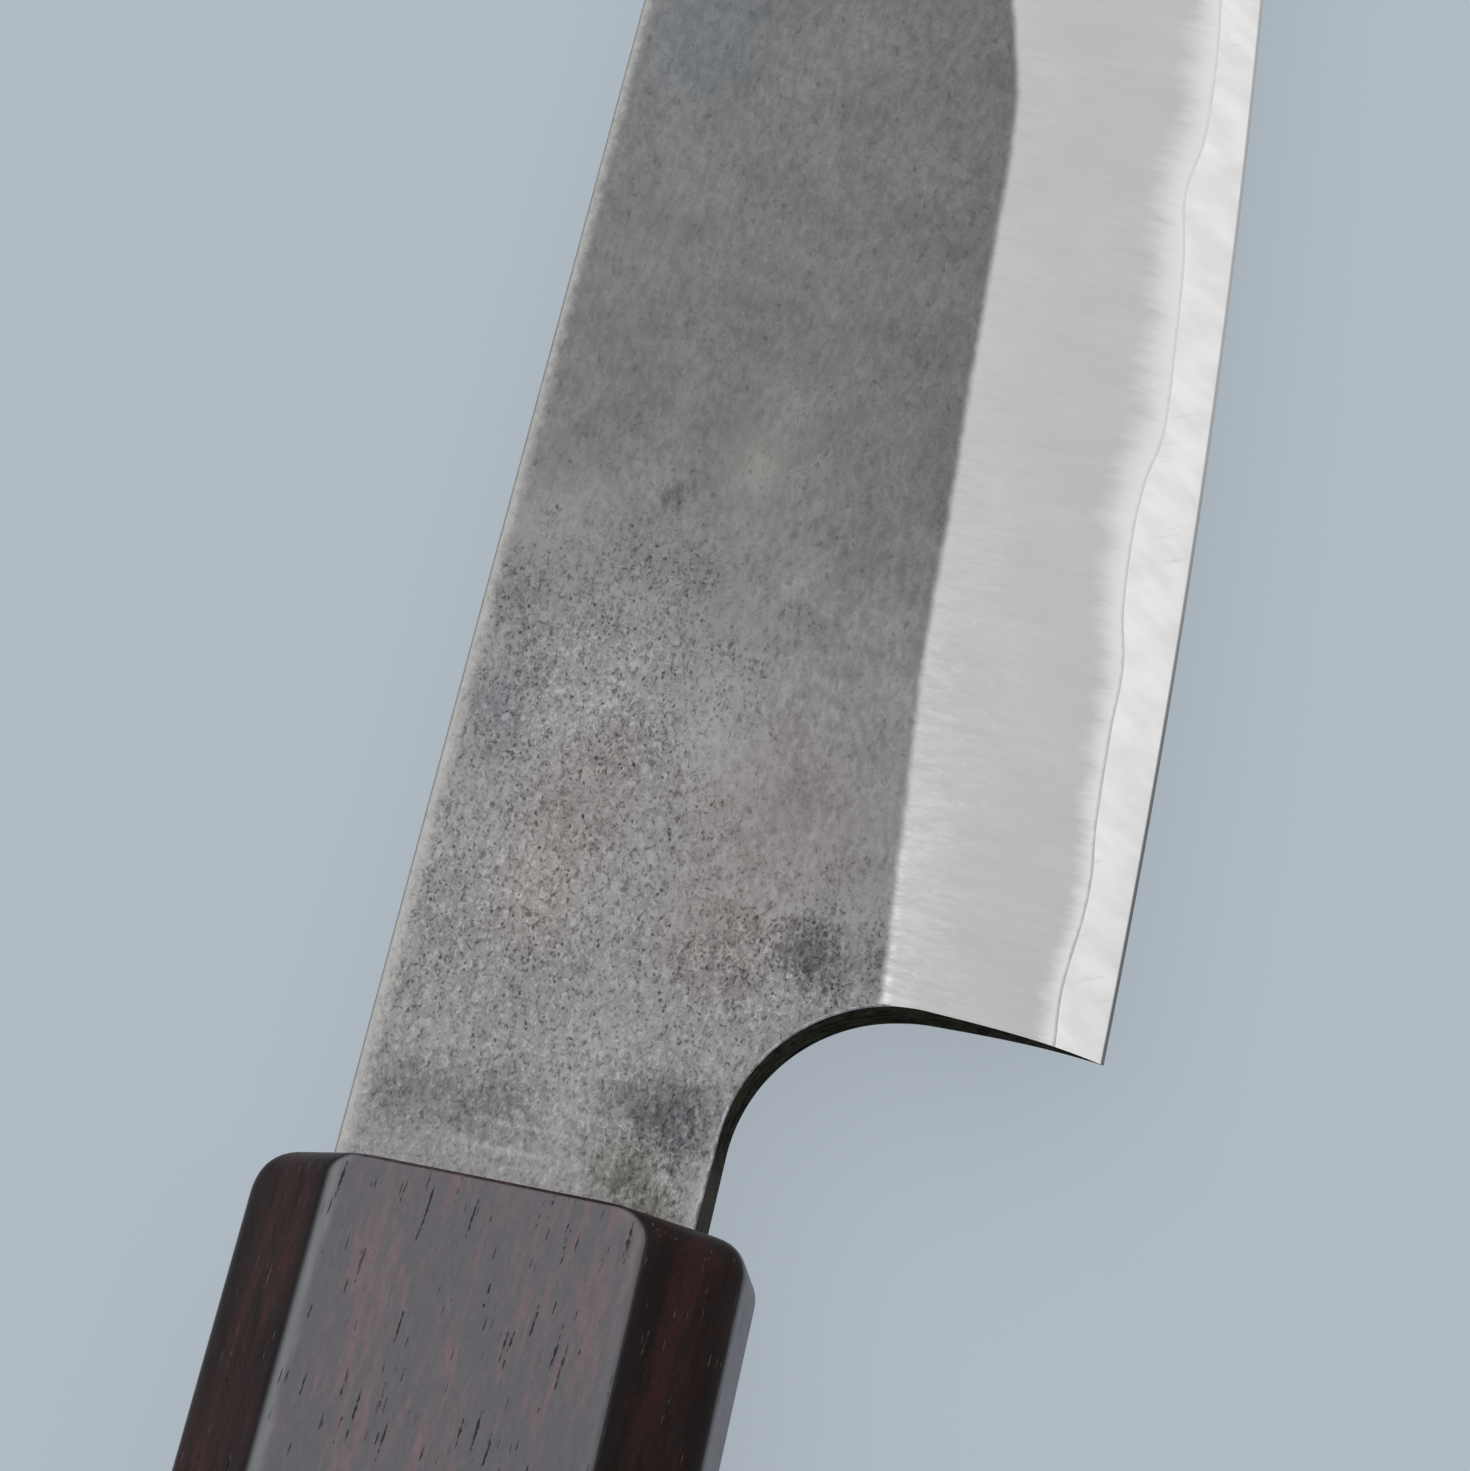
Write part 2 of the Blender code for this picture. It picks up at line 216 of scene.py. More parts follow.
def half_thickness(ahead, above_edge):
    share = max(ahead, 0.0) / EDGE_LENGTH
    full = BLADE_THICKNESS + (TIP_THICKNESS - BLADE_THICKNESS) * share
    return full / 2 * min(1.0, above_edge / shinogi(ahead)) ** BEVEL_CONVEXITY


def cladding_section(ahead):
    """Outline of the right-hand cladding across one station, as (y, z) points."""
    low = edge_y(ahead)
    height = spine_y(ahead) - low
    line = cladding_line(ahead)
    core = half_thickness(ahead, line)
    top = half_thickness(ahead, height)
    ease = min(SPINE_EASE, EASE_SHARE * (top - core), height / EASE_PARTS)
    points = [(low + height, core)]
    for step in range(SPINE_STEPS + 1):
        turn = math.radians(90) * step / SPINE_STEPS
        above = height - ease * (1 - math.cos(turn))
        outer = min(top, half_thickness(ahead, above))
        points.append((low + above, outer - ease * (1 - math.sin(turn))))
    shoulder = min(shinogi(ahead), SHOULDER_SHARE * (height - ease))
    for upper, lower, rows in ((height - ease, shoulder, FLAT_ROWS), (shoulder, line, BEVEL_ROWS)):
        for share in rows:
            above = upper + (lower - upper) * share
            points.append((low + above, half_thickness(ahead, above)))
    return points


def core_section(ahead):
    """Outline of the core across one station: between the claddings, then bare down to the edge."""
    low = edge_y(ahead)
    line = cladding_line(ahead)
    core = half_thickness(ahead, line)
    side = [(spine_y(ahead), core), (low + line, core)]
    for share in CORE_ROWS:
        side.append((low + share * line, half_thickness(ahead, share * line)))
    return [*side, (low, 0.0), *[(y, -z) for y, z in reversed(side)]]


def stations():
    """Distances ahead of the heel at which the blade gets a section, from behind the tang to the tip."""
    rear = TANG_END_X - MARGIN - HEEL_X
    count = round((HEEL_X + NECK_DEPTH) / NECK_STEP)
    neck = [-HEEL_X - NECK_DEPTH + step * NECK_STEP for step in range(count)]
    shares = [1 - (1 - step / BLADE_STATIONS) ** TIP_CROWDING for step in range(BLADE_STATIONS)]
    return [rear, *neck, *[share * EDGE_LENGTH for share in shares]]


def skin(bm, rings):
    """Joins rings of points by a skin that is open at both ends, and returns the rings' vertices."""
    loops = [[bm.verts.new(point) for point in ring] for ring in rings]
    count = len(loops[0])
    for near, far in zip(loops, loops[1:]):
        for index in range(count):
            after = (index + 1) % count
            bm.faces.new((near[index], near[after], far[after], far[index]))
    return loops


def add_object(name, data):
    obj = bpy.data.objects.new(name, data)
    bpy.context.scene.collection.objects.link(obj)
    return obj


def object_from_bmesh(name, bm):
    """Makes an object of a closed bmesh, in the knife's own frame, with its faces pointing outwards."""
    bmesh.ops.recalc_face_normals(bm, faces=bm.faces)
    if bm.calc_volume(signed=True) < 0:
        bmesh.ops.reverse_faces(bm, faces=bm.faces)
    mesh = bpy.data.meshes.new(name)
    bm.to_mesh(mesh)
    bm.free()
    obj = add_object(name, mesh)
    obj.location = ORIGIN
    return obj


def prism(name, outlines):
    """A closed form through outlines of (x, y) points, given as (z, outline) pairs from low to high."""
    bm = bmesh.new()
    loops = skin(bm, [[(x, y, z) for x, y in outline] for z, outline in outlines])
    bm.faces.new(loops[0])
    bm.faces.new(loops[-1])
    return object_from_bmesh(name, bm)


def blade_form(name, section, side):
    """A layer of the ground blade, longer than the tang, whose sections close in one point at the tip."""
    bm = bmesh.new()
    rings = [[(HEEL_X + ahead, y, side * z) for y, z in section(ahead)] for ahead in stations()]
    loops = skin(bm, rings)
    bm.faces.new(loops[0])
    last = loops[-1]
    tip = bm.verts.new((TIP_X, edge_y(EDGE_LENGTH), 0.0))
    for index, vert in enumerate(last):
        bm.faces.new((vert, last[(index + 1) % len(last)], tip))
    return object_from_bmesh(name, bm)


def tang_corners(fit):
    """The tang's four corners, from its root on the spine's side round its end, moved out by a fit."""
    upper = [(-NECK_DEPTH - fit, TANG_HEIGHT / 2 + fit), (TANG_END_X - fit, TANG_END_HEIGHT / 2 + fit)]
    return upper + [(x, -y) for x, y in reversed(upper)]


def blank_outline(z):
    """The blank's outline at one height in its thickness.

    The wall of the choil slants from face to face, and its two corners are eased.
    """
    half = BLADE_THICKNESS / 2
    share = min(max((half - z) / (2 * half), 0.0), 1.0)
    short = min(max(abs(z) - (half - CHOIL_EASE), 0.0), CHOIL_EASE)
    inset = CHOIL_EASE - math.sqrt(CHOIL_EASE**2 - short**2)
    slant_y = share * CHOIL_SLANT_Y
    middle_x = HEEL_X - CHOIL_RADIUS + share * CHOIL_SLANT_X
    middle_y = NECK_Y - CHOIL_RADIUS + slant_y
    radius = CHOIL_RADIUS + inset
    neck_y = NECK_Y + slant_y + inset
    points = [
        (TIP_X + MARGIN, SPINE_Y + MARGIN),
        (-NECK_DEPTH, SPINE_Y + MARGIN),
        *tang_corners(0.0),
        (-NECK_DEPTH, neck_y + (1 - share) * NECK_LEAN),
    ]
    for step in range(CHOIL_STEPS + 1):
        turn = math.radians(90) * (1 - step / CHOIL_STEPS)
        points.append((middle_x + radius * math.cos(turn), middle_y + radius * math.sin(turn)))
    wall = middle_y - EDGE_Y
    for step in range(1, HEEL_STEPS + 1):
        down = step / HEEL_STEPS
        points.append((middle_x + radius - HEEL_LEAN * down**3, middle_y - wall * down))
    points.append((points[-1][0], EDGE_Y - MARGIN))
    points.append((TIP_X + MARGIN, EDGE_Y - MARGIN))
    return points


def blank():
    """The forged blank: tang, neck and choil as they are, the blade larger than its ground form."""
    half = BLADE_THICKNESS / 2
    upper = [half - CHOIL_EASE * (1 - step / ROUND_STEPS) for step in range(ROUND_STEPS + 1)]
    upper.append(half + MARGIN)
    lower = [-z for z in reversed(upper)]
    return prism("blank", [(z, blank_outline(z)) for z in lower + upper])


def cut(obj, operation, other):
    """Applies one Boolean to a mesh object."""
    modifier = obj.modifiers.new(operation, "BOOLEAN")
    modifier.operation = operation
    modifier.solver = "EXACT"
    modifier.object = other
    graph = bpy.context.evaluated_depsgraph_get()
    mesh = bpy.data.meshes.new_from_object(obj.evaluated_get(graph))
    obj.modifiers.clear()
    old = obj.data
    obj.data = mesh
    mesh.name = obj.name
    bpy.data.meshes.remove(old)


def set_materials(obj, *materials):
    obj.data.materials.clear()
    for material in materials:
        obj.data.materials.append(material)


def smooth(obj):
    obj.data.shade_smooth()
    obj.data.set_sharp_from_angle(angle=SMOOTH_ANGLE)


def store(obj, name, values):
    attribute = obj.data.attributes.new(name, "FLOAT", "POINT")
    attribute.data.foreach_set("value", values)


def mark_blade(obj):
    """Stores at each point, in millimetres, how far it lies from the lines that its finish follows."""
    rows = []
    for vert in obj.data.vertices:
        ahead = vert.co.x - HEEL_X
        above = vert.co.y - edge_y(ahead)
        below = spine_y(ahead) - vert.co.y
        rows.append((above, above - cladding_line(ahead), above - shinogi(ahead), below))
    names = ("above_edge", "above_line", "above_shinogi", "below_spine")
    for name, values in zip(names, zip(*rows)):
        store(obj, name, [value / MM for value in values])


def mark_wall(obj):
    """Gives the wall of choil and neck the object's second material, and its worn corner the third."""
    for face in obj.data.polygons:
        upright = abs(face.normal.z)
        if face.normal.y > SPINE_NORMAL or upright > RIM_NORMAL:
            continue
        face.material_index = 1 if upright < WALL_NORMAL else 2


def round_inset(depth, radius):
    """How far a rounded edge stands back from its face, at a depth behind the end of the handle."""
    short = max(radius - depth, 0.0)
    return radius - math.sqrt(radius**2 - short**2)


def end_depths(radius):
    """Depths behind an end of the handle at which its rounded edge gets a section."""
    turns = [math.radians(90) * step / END_STEPS for step in range(END_STEPS + 1)]
    return [radius * (1 - math.cos(turn)) for turn in turns]


def eased(corners):
    """The outline with each corner drawn as a short curve, which starts and ends on straight sides."""
    points = []
    for index, corner in enumerate(corners):
        middle = Vector(corner)
        before = (Vector(corners[index - 1]) - middle).normalized()
        after = (Vector(corners[(index + 1) % len(corners)]) - middle).normalized()
        points.append(middle + before * (FACET_EASE + RIDGE_HOLD))
        for step in range(FACET_STEPS + 1):
            share = step / FACET_STEPS
            points.append(middle + FACET_EASE * (before * (1 - share) ** 2 + after * share**2))
        points.append(middle + after * (FACET_EASE + RIDGE_HOLD))
    return points


def half_corners(x, front_half, side_round, slope_round):
    """The two corners of one half of one broad face, with y counted away from the handle's axis."""
    behind = -x
    butt_inset = round_inset(x - BUTT_X, BUTT_ROUND)
    half_height = front_half + (HANDLE_REAR_HEIGHT / 2 - front_half) * x / BUTT_X
    side = half_height - round_inset(behind, side_round) - butt_inset
    face = HANDLE_WIDTH / 2 - round_inset(behind, FRONT_FACE_ROUND) - butt_inset
    slope_inset = round_inset(behind, slope_round) + butt_inset
    slope = half_height + HANDLE_WIDTH / 2 - HANDLE_CHAMFER - math.sqrt(2) * slope_inset
    return (side, slope - side), (slope - face, face)


def octagon(x):
    """The eight corners of the handle's section as (y, z) points. At both ends its faces draw in."""
    spine_side, spine_top = half_corners(x, *SPINE_HALF)
    edge_side, edge_top = half_corners(x, *EDGE_HALF)
    upper = [spine_side, spine_top, (-edge_top[0], edge_top[1]), (-edge_side[0], edge_side[1])]
    return upper + [(y, -z) for y, z in reversed(upper)]


def handle_ring(x):
    """One section of the handle. Near the front the sections lean, because the front is cut askew."""
    lean = FRONT_TILT * max(0.0, 1 + x / FRONT_TILT_DEPTH)
    return [(x - lean * y, y, z) for y, z in eased(octagon(x))]


def on_slope(strip):
    """Whether a strip along the handle lies on one of the four slopes between the broad faces."""
    corner, offset = divmod(strip, CORNER_POINTS)
    face = corner if offset >= CORNER_POINTS // 2 else corner - 1
    return face % 2 == 0


def octagon_bar(name, materials):
    """The whole handle as one tapered octagonal bar, with its ridges eased and both ends rounded.

    The broad faces get the first material, the slopes and the edges of the ends the second, and the
    ends the third.
    """
    front = [-depth for depth in end_depths(FRONT_DEPTH)]
    butt = [BUTT_X + depth for depth in end_depths(BUTT_ROUND)]
    middle = [-FRONT_DEPTH - FACE_HOLD, -FRONT_TILT_DEPTH, BUTT_X + BUTT_ROUND + FACE_HOLD]
    places = [*front, *middle, *reversed(butt)]
    bm = bmesh.new()
    loops = skin(bm, [handle_ring(x) for x in places])
    for number, face in enumerate(bm.faces):
        ring, strip = divmod(number, len(loops[0]))
        at_end = places[ring] > -FRONT_FADE or places[ring + 1] < BUTT_X + BUTT_FADE
        face.material_index = 1 if at_end or on_slope(strip) else 0
    for ring in (loops[0], loops[-1]):
        bm.faces.new(ring).material_index = 2
    bar = object_from_bmesh(name, bm)
    for material in materials:
        bar.data.materials.append(material)
    return bar


def mark_handle(obj):
    """Stores for each point how far it lies from the nearest ridge, in millimetres, and how broad it is.

    The broad faces are one and the slopes zero, with a short fade between them and at both ends.
    """
    ridge = []
    broad = []
    for vert in obj.data.vertices:
        x, y, z = vert.co
        x = min(max(x, BUTT_X), 0.0)
        ridge.append(min(math.hypot(y - b, z - c) for b, c in octagon(x)) / MM)
        normal = Vector((vert.normal.y, vert.normal.z))
        squareness = max(abs(normal.x), abs(normal.y)) / max(normal.length, LEAST_NORMAL)
        share = (squareness - SLOPE_SQUARENESS) / (BROAD_SQUARENESS - SLOPE_SQUARENESS)
        broad.append(max(0.0, min(1.0, share, -x / FRONT_FADE, (x - BUTT_X) / BUTT_FADE)))
    store(obj, "ridge", ridge)
    store(obj, "broad", broad)


def cuboid(name, low, high):
    bm = bmesh.new()
    bmesh.ops.create_cube(bm, size=1.0)
    bmesh.ops.scale(bm, vec=Vector(high) - Vector(low), verts=bm.verts)
    bmesh.ops.translate(bm, vec=(Vector(low) + Vector(high)) / 2, verts=bm.verts)
    return object_from_bmesh(name, bm)


def bore(name, x_rear, x_front, diameter):
    """A round hole on the handle's axis, wider by a fit than the diameter of what goes in."""
    bm = bmesh.new()
    radius = diameter / 2 + BORE_FIT
    bmesh.ops.create_cone(
        bm, cap_ends=True, segments=ROUND_SIDES, radius1=radius, radius2=radius, depth=x_front - x_rear
    )
    for vert in bm.verts:
        x, y, z = vert.co
        vert.co = (z + (x_front + x_rear) / 2, y, -x)
    return object_from_bmesh(name, bm)


def recess():
    """The space that neck and tang take up in the handle, with a close fit all round."""
    rear = -NECK_DEPTH - MOUTH_FIT
    high = SPINE_Y + MOUTH_FIT
    low = NECK_Y + CHOIL_SLANT_Y - MOUTH_FIT
    half = BLADE_THICKNESS / 2 + MOUTH_FIT
    outline = [(MARGIN, high), (rear, high), *tang_corners(MOUTH_FIT), (rear, low), (MARGIN, low)]
    return prism("recess", [(-half, outline), (half, outline)])


class Graph:
    """A new material or world and its nodes. Each call adds nodes and returns a result for the next.

    What a call takes is a number, a vector, a colour, or the result of another call.
    """

    def __init__(self, name, kind="materials"):
        self.owner = getattr(bpy.data, kind).new(name)
        self.owner.use_nodes = True
        self.nodes = self.owner.node_tree.nodes
        self.links = self.owner.node_tree.links

    def feed(self, socket, value):
        if isinstance(value, bpy.types.NodeSocket):
            self.links.new(value, socket)
        else:
            socket.default_value = value

    def add(self, kind, sockets, **settings):
        """Adds a node with its settings, and feeds its sockets, which go by name or number."""
        node = self.nodes.new("ShaderNode" + kind)
        for name, value in settings.items():
            setattr(node, name, value)
        for name, value in sockets.items():
            self.feed(node.inputs[name], value)
        return node

    def combine(self, operation, first, *others):
        """Applies one operation to the first value and each of the others in turn."""
        for other in others:
            first = self.add("Math", {0: first, 1: other}, operation=operation).outputs[0]
        return first

    def plus(self, *values):
        return self.combine("ADD", *values)

    def minus(self, *values):
        return self.combine("SUBTRACT", *values)

    def times(self, *values):
        return self.combine("MULTIPLY", *values)

    def larger(self, *values):
        return self.combine("MAXIMUM", *values)

    def place(self):
        """The point in the object's own frame, in millimetres."""
        return self.scale(self.add("TexCoord", {}).outputs["Object"], (1 / MM, 1 / MM, 1 / MM))

    def scale(self, vector, factors):
        return self.add("VectorMath", {0: vector, 1: factors}, operation="MULTIPLY").outputs[0]

    def shift(self, vector, offset):
        return self.add("VectorMath", {0: vector, 1: offset}, operation="ADD").outputs[0]

    def length(self, vector):
        return self.add("VectorMath", {0: vector}, operation="LENGTH").outputs["Value"]

    def turn(self, vector, angle):
        """Turns a vector about z."""
        sockets = {"Vector": vector, "Angle": angle}
        return self.add("VectorRotate", sockets, rotation_type="Z_AXIS").outputs[0]

    def parts(self, vector):
        return tuple(self.add("SeparateXYZ", {0: vector}).outputs)

    def attribute(self, name):
        return self.add("Attribute", {}, attribute_name=name).outputs["Fac"]

    def fade(self, value, start, end, low=0.0, high=1.0):
        """Runs smoothly from low to high as the value goes from start to end."""
        sockets = {"Value": value, "From Min": start, "From Max": end, "To Min": low, "To Max": high}
        return self.add("MapRange", sockets, interpolation_type="SMOOTHSTEP").outputs["Result"]

    def noise(self, vector, scale, detail, roughness=0.5, distortion=0.0):
        sockets = {"Scale": scale, "Detail": detail, "Roughness": roughness, "Distortion": distortion}
        return self.add("TexNoise", {"Vector": vector, **sockets}).outputs["Fac"]

    def streaks(self, vector, stretch, *shape):
        """Noise that is drawn out along an axis by a small factor, and crowded by a large one."""
        return self.noise(self.scale(vector, stretch), *shape)

    def cells(self, vector, scale):
        """Distance to the nearest cell centre, and a random number for that cell."""
        node = self.add("TexVoronoi", {"Vector": vector, "Scale": scale})
        return node.outputs["Distance"], self.parts(node.outputs["Color"])[0]

    def mix(self, factor, first, second, blend="MIX"):
        """Mixes two colours. Their sockets go by number, because other sockets have the same names."""
        sockets = {"Factor": factor, 6: first, 7: second}
        return self.add("Mix", sockets, data_type="RGBA", blend_type=blend).outputs[2]

    def tint(self, colour, *tones):
        """The colour multiplied by each tone."""
        for tone in tones:
            colour = self.mix(1.0, colour, tone, "MULTIPLY")
        return colour

    def bump(self, height, distance, strength, under=None):
        """The normal of a relief, laid over another normal where one is given."""
        sockets = {"Height": height, "Distance": distance, "Strength": strength}
        if under is not None:
            sockets["Normal"] = under
        return self.add("Bump", sockets).outputs["Normal"]

    def blend(self, share, first, second):
        """Mixes two shaders: the first where the share is zero, the second where it is one."""
        return self.add("MixShader", {"Fac": share, 1: first, 2: second}).outputs[0]

    def finish(self, **sockets):
        """Feeds the shader's sockets, by name with underscores for spaces, and returns the material."""
        shader = self.nodes["Principled BSDF"]
        for name, value in sockets.items():
            self.feed(shader.inputs[name.replace("_", " ")], value)
        return self.owner


def rgb(red, green, blue):
    return (red, green, blue, 1.0)


def grey(level, tint=(1.0, 1.0, 1.0)):
    return rgb(*[level * part for part in tint])


WHITE = grey(1.0)

# Colours of the steel. The tint keeps it neutral under the bluish backdrop that it mirrors.
STEEL_TINT = rgb(0.96, 0.925, 0.895)
FLAT_BLUISH = grey(0.152, (0.99, 1.0, 1.025))
FLAT_BEIGE = grey(0.232, (1.02, 1.0, 0.985))
BEVEL_DARK = grey(0.35, (1.0, 0.995, 1.02))
BEVEL_LIGHT = grey(0.4, (1.0, 0.995, 1.02))
BRUSHED = grey(0.52)
HAZE = grey(0.57)
GLINT = grey(0.62)
BEVEL_SCRATCH = grey(0.2)
LINE_AHEAD = grey(0.47)
LINE_AT_HEEL = grey(0.33)
SPINE_RUBBED = grey(0.46, (1.0, 1.0, 0.97))
CORE_SMUDGE = grey(0.535, (1.0, 0.998, 1.005))
CORE_BRIGHT = grey(0.6)
CORE_SCRATCH = grey(0.36)
# Painted shade along the very edge: ahead, and darker at the heel
EDGE_SHADE_AHEAD = grey(0.3)
EDGE_SHADE_AT_HEEL = grey(0.11)
WALL_DARK = grey(0.014, (1.0, 1.0, 0.8))
WALL_LIGHT = grey(0.066, (1.06, 1.0, 0.74))
WALL_AT_NECK = grey(0.125, (1.04, 1.0, 0.88))
WALL_FLECK = grey(0.2)
RIM_DULL = grey(0.2, (1.03, 1.0, 0.95))
RIM_RUBBED = grey(0.5)

# Where a finish or painted shade changes along the blade, in millimetres ahead of the handle: from, and
# to
BEIGE_FLAT_AT = (37.0, 19.0)
PITTED_NECK_AT = (14.0, 7.0)
FULL_PITS_AT = (2.0, 6.0)
NEAR_HEEL_AT = (46.0, 14.0)
GLINT_AT = (22.0, 12.0)
WIDE_RUB_AT = (40.0, 15.0)
EDGE_SHADE_AT = (45.0, 20.0)
PALE_WALL_AT = (5.0, 1.5)

# Where it changes across the blade, in millimetres above the bevel's top, cladding's line or edge
FLAT_BEGINS = (-0.1, 0.36)
FLAT_LIGHTENS = (0.0, 9.0)
GLINT_BAND = (-0.4, 0.0)
STROKES_BAND = (-3.2, 0.6)
BLOCKS_BAND = (-4.5, -1.0)
LINE_BAND = (0.19, 0.03)
# The band of painted shade along the very edge
EDGE_SHADE_BAND = (0.18, 0.1)

# The rubbed band along the spine, in millimetres: its width ahead and near the neck, and where it is full
RUB_WIDTHS = (0.7, 0.9)
RUB_FULL = -0.1

# How far the smudges and scratches of the core are turned
SMUDGE_TURN = math.radians(30)
RISING_TURN = math.radians(40)
FALLING_TURN = math.radians(-25)

# Heights of the relief
FLAT_RELIEF = 0.012 * MM
BRUSH_RELIEF = 0.004 * MM
WALL_RELIEF = 0.006 * MM
RIM_RELIEF = 0.01 * MM
WOOD_RELIEF = 0.06 * MM
END_RELIEF = 0.05 * MM
DOWEL_RELIEF = 0.03 * MM
BUBBLE_RELIEF = 0.05 * MM

# Marks on the right-hand flat, in millimetres of the knife's own frame: middle x and y, half sizes along
# and across the blade, and the colour by which the steel is multiplied
MARKS = (
    (17.6, 1.4, 3.4, 2.6, (0.88, 0.84, 0.84)),
    (18.6, -7.0, 5.0, 3.0, (0.94, 0.88, 0.88)),
    (13.6, 2.4, 2.8, 2.2, (1.0, 0.95, 0.94)),
    (13.4, -5.6, 3.0, 2.8, (0.92, 0.87, 0.87)),
    (20.9, 5.9, 4.8, 1.8, (0.8, 0.8, 0.86)),
    (53.9, 5.0, 3.4, 3.0, (0.93, 0.98, 1.01)),
    (33.4, -2.5, 1.7, 1.3, (1.36, 1.31, 1.22)),
    (29.7, 6.0, 2.4, 1.9, (1.18, 1.16, 1.16)),
    (31.6, 0.8, 0.9, 0.8, (0.56, 0.57, 0.6)),
    (12.8, -9.8, 1.6, 2.4, (0.52, 0.53, 0.52)),
    (12.6, -12.0, 1.8, 2.0, (0.72, 0.72, 0.76)),
    (4.9, -4.8, 1.8, 3.3, (0.53, 0.555, 0.585)),
    (3.8, -6.0, 1.4, 1.1, (0.66, 0.68, 0.71)),
    (2.4, -4.2, 1.8, 1.8, (0.53, 0.53, 0.49)),
    (1.0, -5.4, 0.7, 1.1, (0.56, 0.56, 0.53)),
    (4.2, 3.6, 1.3, 5.0, (0.68, 0.67, 0.66)),
    (3.2, 1.0, 0.14, 3.6, (1.28, 1.28, 1.28)),
    (2.1, 0.6, 0.12, 3.4, (1.2, 1.2, 1.2)),
    (1.4, 0.6, 1.2, 3.6, (1.12, 1.12, 1.12)),
    (1.9, -7.8, 2.6, 0.9, (2.1, 2.1, 2.06)),
    (6.8, -1.4, 2.2, 3.0, (1.12, 1.12, 1.12)),
    (23.2, -3.2, 4.2, 1.4, (1.14, 1.14, 1.12)),
    (26.0, -8.0, 6.0, 2.4, (0.9, 0.89, 0.91)),
    (48.0, 6.0, 9.0, 2.6, (1.1, 1.1, 1.1)),
)

# Where the scale has left dense dark pits: middle x and y, and half sizes along and across the blade
PITTED = (
    (22.0, 2.4, 7.5, 7.0),
    (12.0, 3.5, 8.5, 9.0),
    (10.5, -8.5, 5.5, 7.0),
    (3.0, -5.5, 3.5, 2.8),
)

# Where a mark's soft border ends, in half sizes of the mark, and how ragged it is
SPOT_REACH = 1.5
COARSE_RAGGED = 2.4
FINE_RAGGED = 1.3


def spot(g, place, x, y, along, across, ragged):
    """One inside an ellipse on the blade, and zero outside, with a soft ragged border."""
    flat_place = g.scale(g.shift(place, (-x, -y, 0.0)), (1 / along, 1 / across, 0.0))
    return g.fade(g.plus(g.length(flat_place), ragged), SPOT_REACH, 0.0)


def centred(g, noise, size):
    """The noise shifted to run from minus half the size to plus half the size."""
    return g.times(g.minus(noise, 0.5), size)


def varied(g, noise, start, end, depth):
    """A tone that runs from dark to light, by the depth each way, as the noise goes from start to end."""
    return g.mix(g.fade(noise, start, end), grey(1 - depth), grey(1 + depth))


def scale_pits(g, place, x, grain, mottle, strength):
    """One in small scattered pits and zero around them, weaker where the strength is low."""
    distance, chance = g.cells(g.scale(place, (0.8, 1.0, 1.0)), 5.2)
    uneven = g.plus(distance, centred(g, grain, 0.8))
    return g.times(
        g.fade(uneven, 0.46, 0.14),
        g.fade(chance, 0.3, 0.95),
        g.fade(mottle, 0.36, 0.6, 0.5, 1.0),
        strength,
        g.fade(x, *FULL_PITS_AT, 0.35, 1.0),
    )


def forged_flat(g, place, x, above_shinogi, marked):
    """Colour and relief of the flat: bluish and softly mottled, and beige and pitted near the neck."""
    grain = g.streaks(place, (0.8, 1.0, 1.0), 4.4, 2.0, 0.65, 1.0)
    mottle = g.streaks(place, (0.55, 1.0, 1.0), 2.8, 3.0, 0.65)
    dots = g.noise(g.shift(g.scale(place, (0.7, 1.0, 1.0)), (31.0, 5.0, 2.0)), 2.6, 2.0, 0.5)
    cloud = g.noise(g.shift(place, (7.0, 3.0, 1.0)), 0.3, 4.0, 0.65)
    wide = g.noise(place, 0.13, 2.0, 0.5)
    # Mottle and grain together have their middle at one, so half the size is taken off once more
    ragged = g.plus(centred(g, cloud, COARSE_RAGGED), centred(g, g.plus(mottle, grain), FINE_RAGGED))
    ragged = g.minus(ragged, FINE_RAGGED / 2)

    near_neck = g.fade(g.plus(x, centred(g, wide, 16.0)), *BEIGE_FLAT_AT)
    tones = [
        g.mix(g.fade(above_shinogi, *FLAT_LIGHTENS), grey(0.93), grey(1.08)),
        varied(g, cloud, 0.25, 0.75, 0.12),
        varied(g, mottle, 0.25, 0.75, 0.16),
        g.mix(g.fade(dots, 0.36, 0.27), WHITE, grey(0.74)),
    ]
    if marked:
        pitted = g.larger(*[spot(g, place, *patch, ragged) for patch in PITTED])
        for *ellipse, tone in MARKS:
            tones.append(g.mix(spot(g, place, *ellipse, ragged), WHITE, rgb(*tone)))
    else:
        pitted = g.fade(wide, 0.56, 0.66)
    strength = g.larger(g.fade(pitted, 0.0, 0.8, 0.2, 1.0), g.fade(x, *PITTED_NECK_AT, 0.0, 0.7))
    pits = scale_pits(g, place, x, grain, mottle, strength)
    tones += [
        g.mix(g.times(g.fade(grain, 0.48, 0.33), strength), WHITE, grey(0.56)),
        g.mix(g.times(g.fade(grain, 0.53, 0.7), strength), WHITE, grey(1.5)),
        g.mix(pits, WHITE, grey(0.28)),
    ]
    colour = g.tint(g.mix(near_neck, FLAT_BLUISH, FLAT_BEIGE), *tones)
    return colour, g.minus(g.times(mottle, 0.5), pits)


